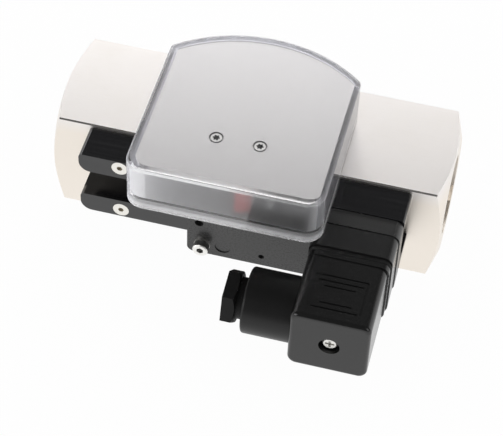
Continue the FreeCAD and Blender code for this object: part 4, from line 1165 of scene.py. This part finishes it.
@dataclass
class Carriage:
    """Moulded contact carriage with its clamp screw and connector base."""

    head_radius: float = 3.0 * MM
    knurls: int = 36
    knurl_depth: float = 0.10 * MM
    head_height: float = 3.0 * MM
    edge: float = 0.32 * MM
    rim: float = 0.9 * MM
    socket_flats: float = 2.5 * MM
    socket_depth: float = 1.6 * MM
    shank_radius: float = 1.5 * MM
    shank_length: float = 12 * MM
    shank_sides: int = 32
    screw_face: Colour = (0.90, 0.89, 0.86)
    screw_shade: Colour = (0.36, 0.36, 0.35)

    def build(self, finishes: Finishes) -> None:
        """Dresses the carriage's nodes and models the knurled clamp screw.

        Args:
            finishes: the finishes by name.
        """
        dress(["contact_housing", "clamp_jaw"], finishes["charcoal_plastic"])
        dress(["connector_base"], finishes["dark_plastic"])
        dress(["reed_switch"], finishes["switch_glass"])
        dress(["clamp_washer"], finishes["steel"])
        dress(["contact_pins", "thread_insert"], finishes["brass"])
        self.clamp_screw()

    def clamp_screw(self) -> None:
        """Models the socket cap screw with its knurled head, bright on its face, with painted shade on
        its sides and in its socket.
        """
        low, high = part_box("clamp_screw")
        # the colour below the face is painted shade on the knurled sides and in the socket
        face_over_shade = ShadedBelowMetal("clamp_steel", self.screw_face, self.screw_shade,
                            Axis.FRONT.value, -low.y - self.edge)
        middle = (low + high) / 2
        bm = bmesh.new()
        rim = bmesh.ops.create_circle(bm, cap_ends=True, segments=2 * self.knurls,
                                      radius=self.head_radius)["verts"]
        for number, vert in enumerate(rim):
            if number % 2:
                vert.co *= 1 - self.knurl_depth / self.head_radius
        face = push(bm, bm.faces[:][0], self.head_height - self.edge)
        raise_step(bm, face, self.edge, self.edge)
        raise_step(bm, face, self.head_radius - self.edge - self.rim - self.socket_flats / 2, 0.0)
        self.sink_socket(bm, face)
        add_shank(bm, self.shank_radius, self.shank_length, self.shank_sides)
        set_along(bm, Vector((middle.x, low.y + self.head_height, middle.z)), Axis.FRONT.value)
        piece = new_piece("clamp_cap_screw", bm, face_over_shade.make())
        sharpen(piece)
        attach(piece, Body.CLAMP, Slot.STEEL, "clamp_screw")

    def sink_socket(self, bm: bmesh.types.BMesh, face: bmesh.types.BMFace) -> None:
        """Draws a round face out to a hexagon and sinks it.

        Args:
            bm: the mesh.
            face: the face.
        """
        sixth = math.pi / 3
        for vert in face.verts:
            angle = math.atan2(vert.co.y, vert.co.x)
            off_flat = (angle + sixth / 2) % sixth - sixth / 2
            reach = self.socket_flats / 2 / math.cos(off_flat)
            vert.co.x = reach * math.cos(angle)
            vert.co.y = reach * math.sin(angle)
        push(bm, face, -self.socket_depth)


@dataclass
class Plug:
    """Square cable plug with its gland, gasket and screws."""

    def build(self, finishes: Finishes) -> None:
        """Dresses the plug's nodes.

        Args:
            finishes: the finishes by name.
        """
        dress(["plug_housing"], finishes["black_plastic"])
        dress(["gland_boss"], finishes["eroded_plastic"])
        dress(["gland_nut"], finishes["dull_plastic"])
        dress(["plug_gasket", "gland_seal"], finishes["black_rubber"])
        dress(["plug_insert"], finishes["grey_plastic"])
        dress(["plug_screw", "terminal_screws"], finishes["steel"])
        dress(["gland_washer"], finishes["brass"])


@dataclass
class Lamp:
    """A soft rectangular studio lamp that looks at the object."""

    name: str
    place: Triple
    width: float
    height: float
    level: float

    def hang(self, aim: Vector) -> None:
        """Makes the lamp.

        Args:
            aim: the point that it looks at.
        """
        data = bpy.data.lights.new(self.name, "AREA")
        data.shape = "RECTANGLE"
        data.size = self.width
        data.size_y = self.height
        data.energy = self.level * math.pi * self.width * self.height
        lamp = set_up(self.name, data)
        lamp.location = Vector(self.place)
        lamp.rotation_euler = (Vector(self.place) - aim).to_track_quat("Z", "Y").to_euler()


@dataclass
class Studio:
    """Floor, world, lamps and the camera."""

    focal_pixels: float = 1866.0
    image_width: float = 503.0
    sensor: float = 36.0
    clip: Tuple[float, float] = (0.01, 50.0)
    elevation: float = math.radians(48.933)
    azimuth: float = math.radians(12.22)
    roll: float = math.radians(2.629)
    eye: Triple = (177.237 * MM, -479.356 * MM, 525.499 * MM)
    aim: Triple = (75 * MM, -20 * MM, 10 * MM)
    floor_level: float = -22.5 * MM
    floor_size: float = 12.0
    floor_colour: Colour = (0.9, 0.9, 0.9)
    ambient: float = 0.60
    dark_sky: float = 0.12
    sky_edge: Tuple[float, float] = (-0.14, -0.02)
    glass_edge: Tuple[float, float] = (0.08, 0.16)
    lift: float = 0.97
    lamps: List[Lamp] = field(default_factory=lambda: [
        Lamp("back_softbox", (-0.19, 1.29, 0.69), 1.8, 0.50, 3.1),
        Lamp("front_softbox", (-1.10, -1.00, 0.60), 1.2, 0.8, 2.5),
        Lamp("right_softbox", (1.35, -0.50, 0.70), 0.8, 0.8, 1.4),
    ])

    def build(self) -> None:
        """Sets up the studio and the camera."""
        self.camera()
        self.world()
        self.floor()
        for lamp in self.lamps:
            lamp.hang(Vector(self.aim))

    def back(self) -> Vector:
        """Finds the direction from the object to the camera.

        Returns:
            The direction, of length one.
        """
        return Vector((
            math.sin(self.azimuth) * math.cos(self.elevation),
            -math.cos(self.azimuth) * math.cos(self.elevation),
            math.sin(self.elevation),
        ))

    def camera(self) -> None:
        """Makes the camera at the photograph's place and lens."""
        back = self.back()
        level = (-back).cross(Axis.Z.value).normalized()
        rise = level.cross(-back)
        right = math.cos(self.roll) * level + math.sin(self.roll) * rise
        up = -math.sin(self.roll) * level + math.cos(self.roll) * rise
        data = bpy.data.cameras.new("camera")
        data.sensor_fit = "HORIZONTAL"
        data.sensor_width = self.sensor
        data.lens = self.focal_pixels * self.sensor / self.image_width
        data.clip_start, data.clip_end = self.clip
        camera = set_up("camera", data)
        turn = Matrix((right, up, back)).transposed().to_4x4()
        camera.matrix_world = Matrix.Translation(self.eye) @ turn
        bpy.context.scene.camera = camera

    @staticmethod
    def shown_rays(paint: Paint) -> Wire:
        """One for the rays that show the background: camera, glossy and transmission rays."""
        return paint.ray(Ray.CAMERA).most(paint.ray(Ray.GLOSSY)).most(paint.ray(Ray.THROUGH))

    def world(self) -> None:
        """Makes a white backdrop behind the object, a dark room round the camera and a soft light."""
        world = bpy.data.worlds.new("studio")
        bpy.context.scene.world = world
        paint = Paint(world)
        towards = paint.along(self.back(), "Generated")
        glow = self.ambient
        # a ramp runs from 0 to 1, so directions from -1 to 1 are halved and raised by a half
        for kind, edge in ((Ray.GLOSSY, self.sky_edge), (Ray.THROUGH, self.glass_edge)):
            stops = [(0.5 + 0.5 * edge[0], 1.0), (0.5 + 0.5 * edge[1], self.dark_sky)]
            glow = paint.between(glow, paint.ramp(towards * 0.5 + 0.5, stops), paint.ray(kind))
        glow = paint.between(glow, 1.0, paint.ray(Ray.CAMERA))
        paint.close(paint.add("ShaderNodeBackground", None, {"Color": (1, 1, 1, 1), "Strength": glow}))

    def floor(self) -> None:
        """Makes the white floor, which keeps a faint shadow."""
        bm = bmesh.new()
        bmesh.ops.create_grid(bm, x_segments=2, y_segments=2, size=self.floor_size,
                              matrix=Matrix.Translation((0, 0, self.floor_level)))
        material = bpy.data.materials.new("floor_white")
        paint = Paint(material)
        matt = paint.add("ShaderNodeBsdfDiffuse", None, {"Color": (*self.floor_colour, 1)})
        white = paint.add("ShaderNodeEmission", None, {"Color": (1, 1, 1, 1), "Strength": 1.0})
        paint.close(paint.blend(matt, white, self.shown_rays(paint) * self.lift))
        new_piece("floor", bm, material, smooth=False)


def finishes() -> Finishes:
    """Makes every finish.

    Returns:
        The materials by the finish's name.
    """
    kinds: Tuple[Finish, ...] = (
        # the nickel's warmer colour below its top is a painted reflection
        PlatedMetal("nickel", (0.915, 0.88, 0.855), (0.86, 0.82, 0.78), 0.36,
                    polished_way=(Axis.FRONT.value + Axis.Z.value).normalized(),
                    lower_reflection=(0.91, 0.845, 0.76)),
        PlatedMetal("steel", (0.84, 0.83, 0.80), (0.72, 0.71, 0.68), 0.32, (6, 6, 6)),
        PlatedMetal("brass", (0.80, 0.62, 0.32), (0.62, 0.44, 0.20), 0.24, (14, 1, 1)),
        SatinSheet("satin_plate", (0.82, 0.805, 0.80), (0.77, 0.755, 0.75), 0.17),
        DrawnAnodise("black_anodised", (0.004, 0.004, 0.005), (0.010, 0.010, 0.011), 0.08, 0.78),
        # the charcoal plastic's level faces carry painted shade behind 36 mm to the front
        MouldedPlastic("charcoal_plastic", (0.024, 0.024, 0.024), (0.036, 0.036, 0.035), 0.22,
                       gloss=0.62, back_shade=(36.0 * MM, 39.6 * MM)),
        MouldedPlastic("black_plastic", (0.004, 0.004, 0.004), (0.009, 0.009, 0.009), 0.14, gloss=0.6),
        MouldedPlastic("dark_plastic", (0.010, 0.010, 0.010), (0.017, 0.017, 0.017), 0.16, gloss=0.6),
        MouldedPlastic("eroded_plastic", (0.004, 0.004, 0.004), (0.009, 0.009, 0.009), 0.34, gloss=0.38),
        MouldedPlastic("dull_plastic", (0.005, 0.005, 0.005), (0.010, 0.010, 0.010), 0.45, gloss=0.22),
        MouldedPlastic("grey_plastic", (0.12, 0.12, 0.125), (0.17, 0.17, 0.175), 0.5),
        MouldedPlastic("pale_plastic", (0.80, 0.80, 0.76), (0.86, 0.86, 0.83), 0.4, 8e-6),
        SoftRubber("grey_rubber", (0.10, 0.10, 0.10), (0.16, 0.16, 0.16)),
        SoftRubber("black_rubber", (0.008, 0.008, 0.008), (0.020, 0.020, 0.020)),
        GlossPaint("red_paint", (0.52, 0.05, 0.05), (0.40, 0.04, 0.04)),
        SinteredMagnet("magnet", (0.05, 0.05, 0.052), (0.16, 0.16, 0.165)),
        ClearMoulding("clear", (0.98, 0.979, 0.986), 0.015, 0.01),
        # the inner front face is frosted, and its haze is also painted light: a highlight at the left
        # corner from 41.5 mm to 45.6 mm along X, fading towards the right and rising towards the top
        ClearMoulding("frosted", (0.98, 0.98, 0.995), 0.38, through=0.05, fade=(
            (40.2 * MM, 0.45), (41.5 * MM, 0.95), (45.6 * MM, 1.0), (47.0 * MM, 0.52), (52 * MM, 0.31),
            (60 * MM, 0.19), (74 * MM, 0.15), (82 * MM, 0.05), (90 * MM, 0.0), (105 * MM, 0.0),
            (107 * MM, 0.30), (108.8 * MM, 0.45)),
            rise=((29 * MM, 0.0), (33.5 * MM, 0.02), (36.5 * MM, 0.10), (40.7 * MM, 0.14))),
        ClearMoulding("veiled", (0.91, 0.91, 0.95), 0.15, 0.28),
        # the rim's haze, strongest at the left corner, and the lip's haze, weaker to the right, are
        # partly painted light
        ClearMoulding("milky", (0.97, 0.97, 0.98), 0.30, fade=(
            (38.2 * MM, 0.85), (60 * MM, 0.70), (80 * MM, 0.55), (95 * MM, 0.35), (110.8 * MM, 0.40))),
        ClearMoulding("pale_lip", (0.98, 0.98, 0.99), 0.30, through=0.05, fade=(
            (38.2 * MM, 0.85), (80 * MM, 0.90), (95 * MM, 0.70), (110.8 * MM, 0.75))),
        # painted highlight along the front top edge, strongest from 46 mm to 74 mm along X
        ClearMoulding("pale_edge", (0.98, 0.98, 0.99), 0.20, fade=(
            (40.0 * MM, 0.5), (46 * MM, 0.95), (74 * MM, 0.95), (88 * MM, 0.2), (108.8 * MM, 0.1))),
        ClearMoulding("switch_glass", (0.90, 0.96, 0.94), 0.01),
    )
    return {kind.name: kind.make() for kind in kinds}


def main() -> None:
    """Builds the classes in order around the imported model."""
    logging.basicConfig(level=logging.INFO, format="%(name)s %(message)s")
    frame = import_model()
    LOG.info("loaded %d nodes", len(frame["nodes"]))
    bpy.context.scene.view_settings.view_transform = "Standard"
    made = finishes()
    Studio().build()
    travel = next(joint for joint in frame["joints"] if joint["name"] == "float_slide")["range_m"][1]
    FlowBody().build(made, travel)
    FloatTrain().build(made)
    Indicator().build(made)
    Rails().build(made)
    Carriage().build(made)
    Plug().build(made)


if __name__ == "__main__":
    main()
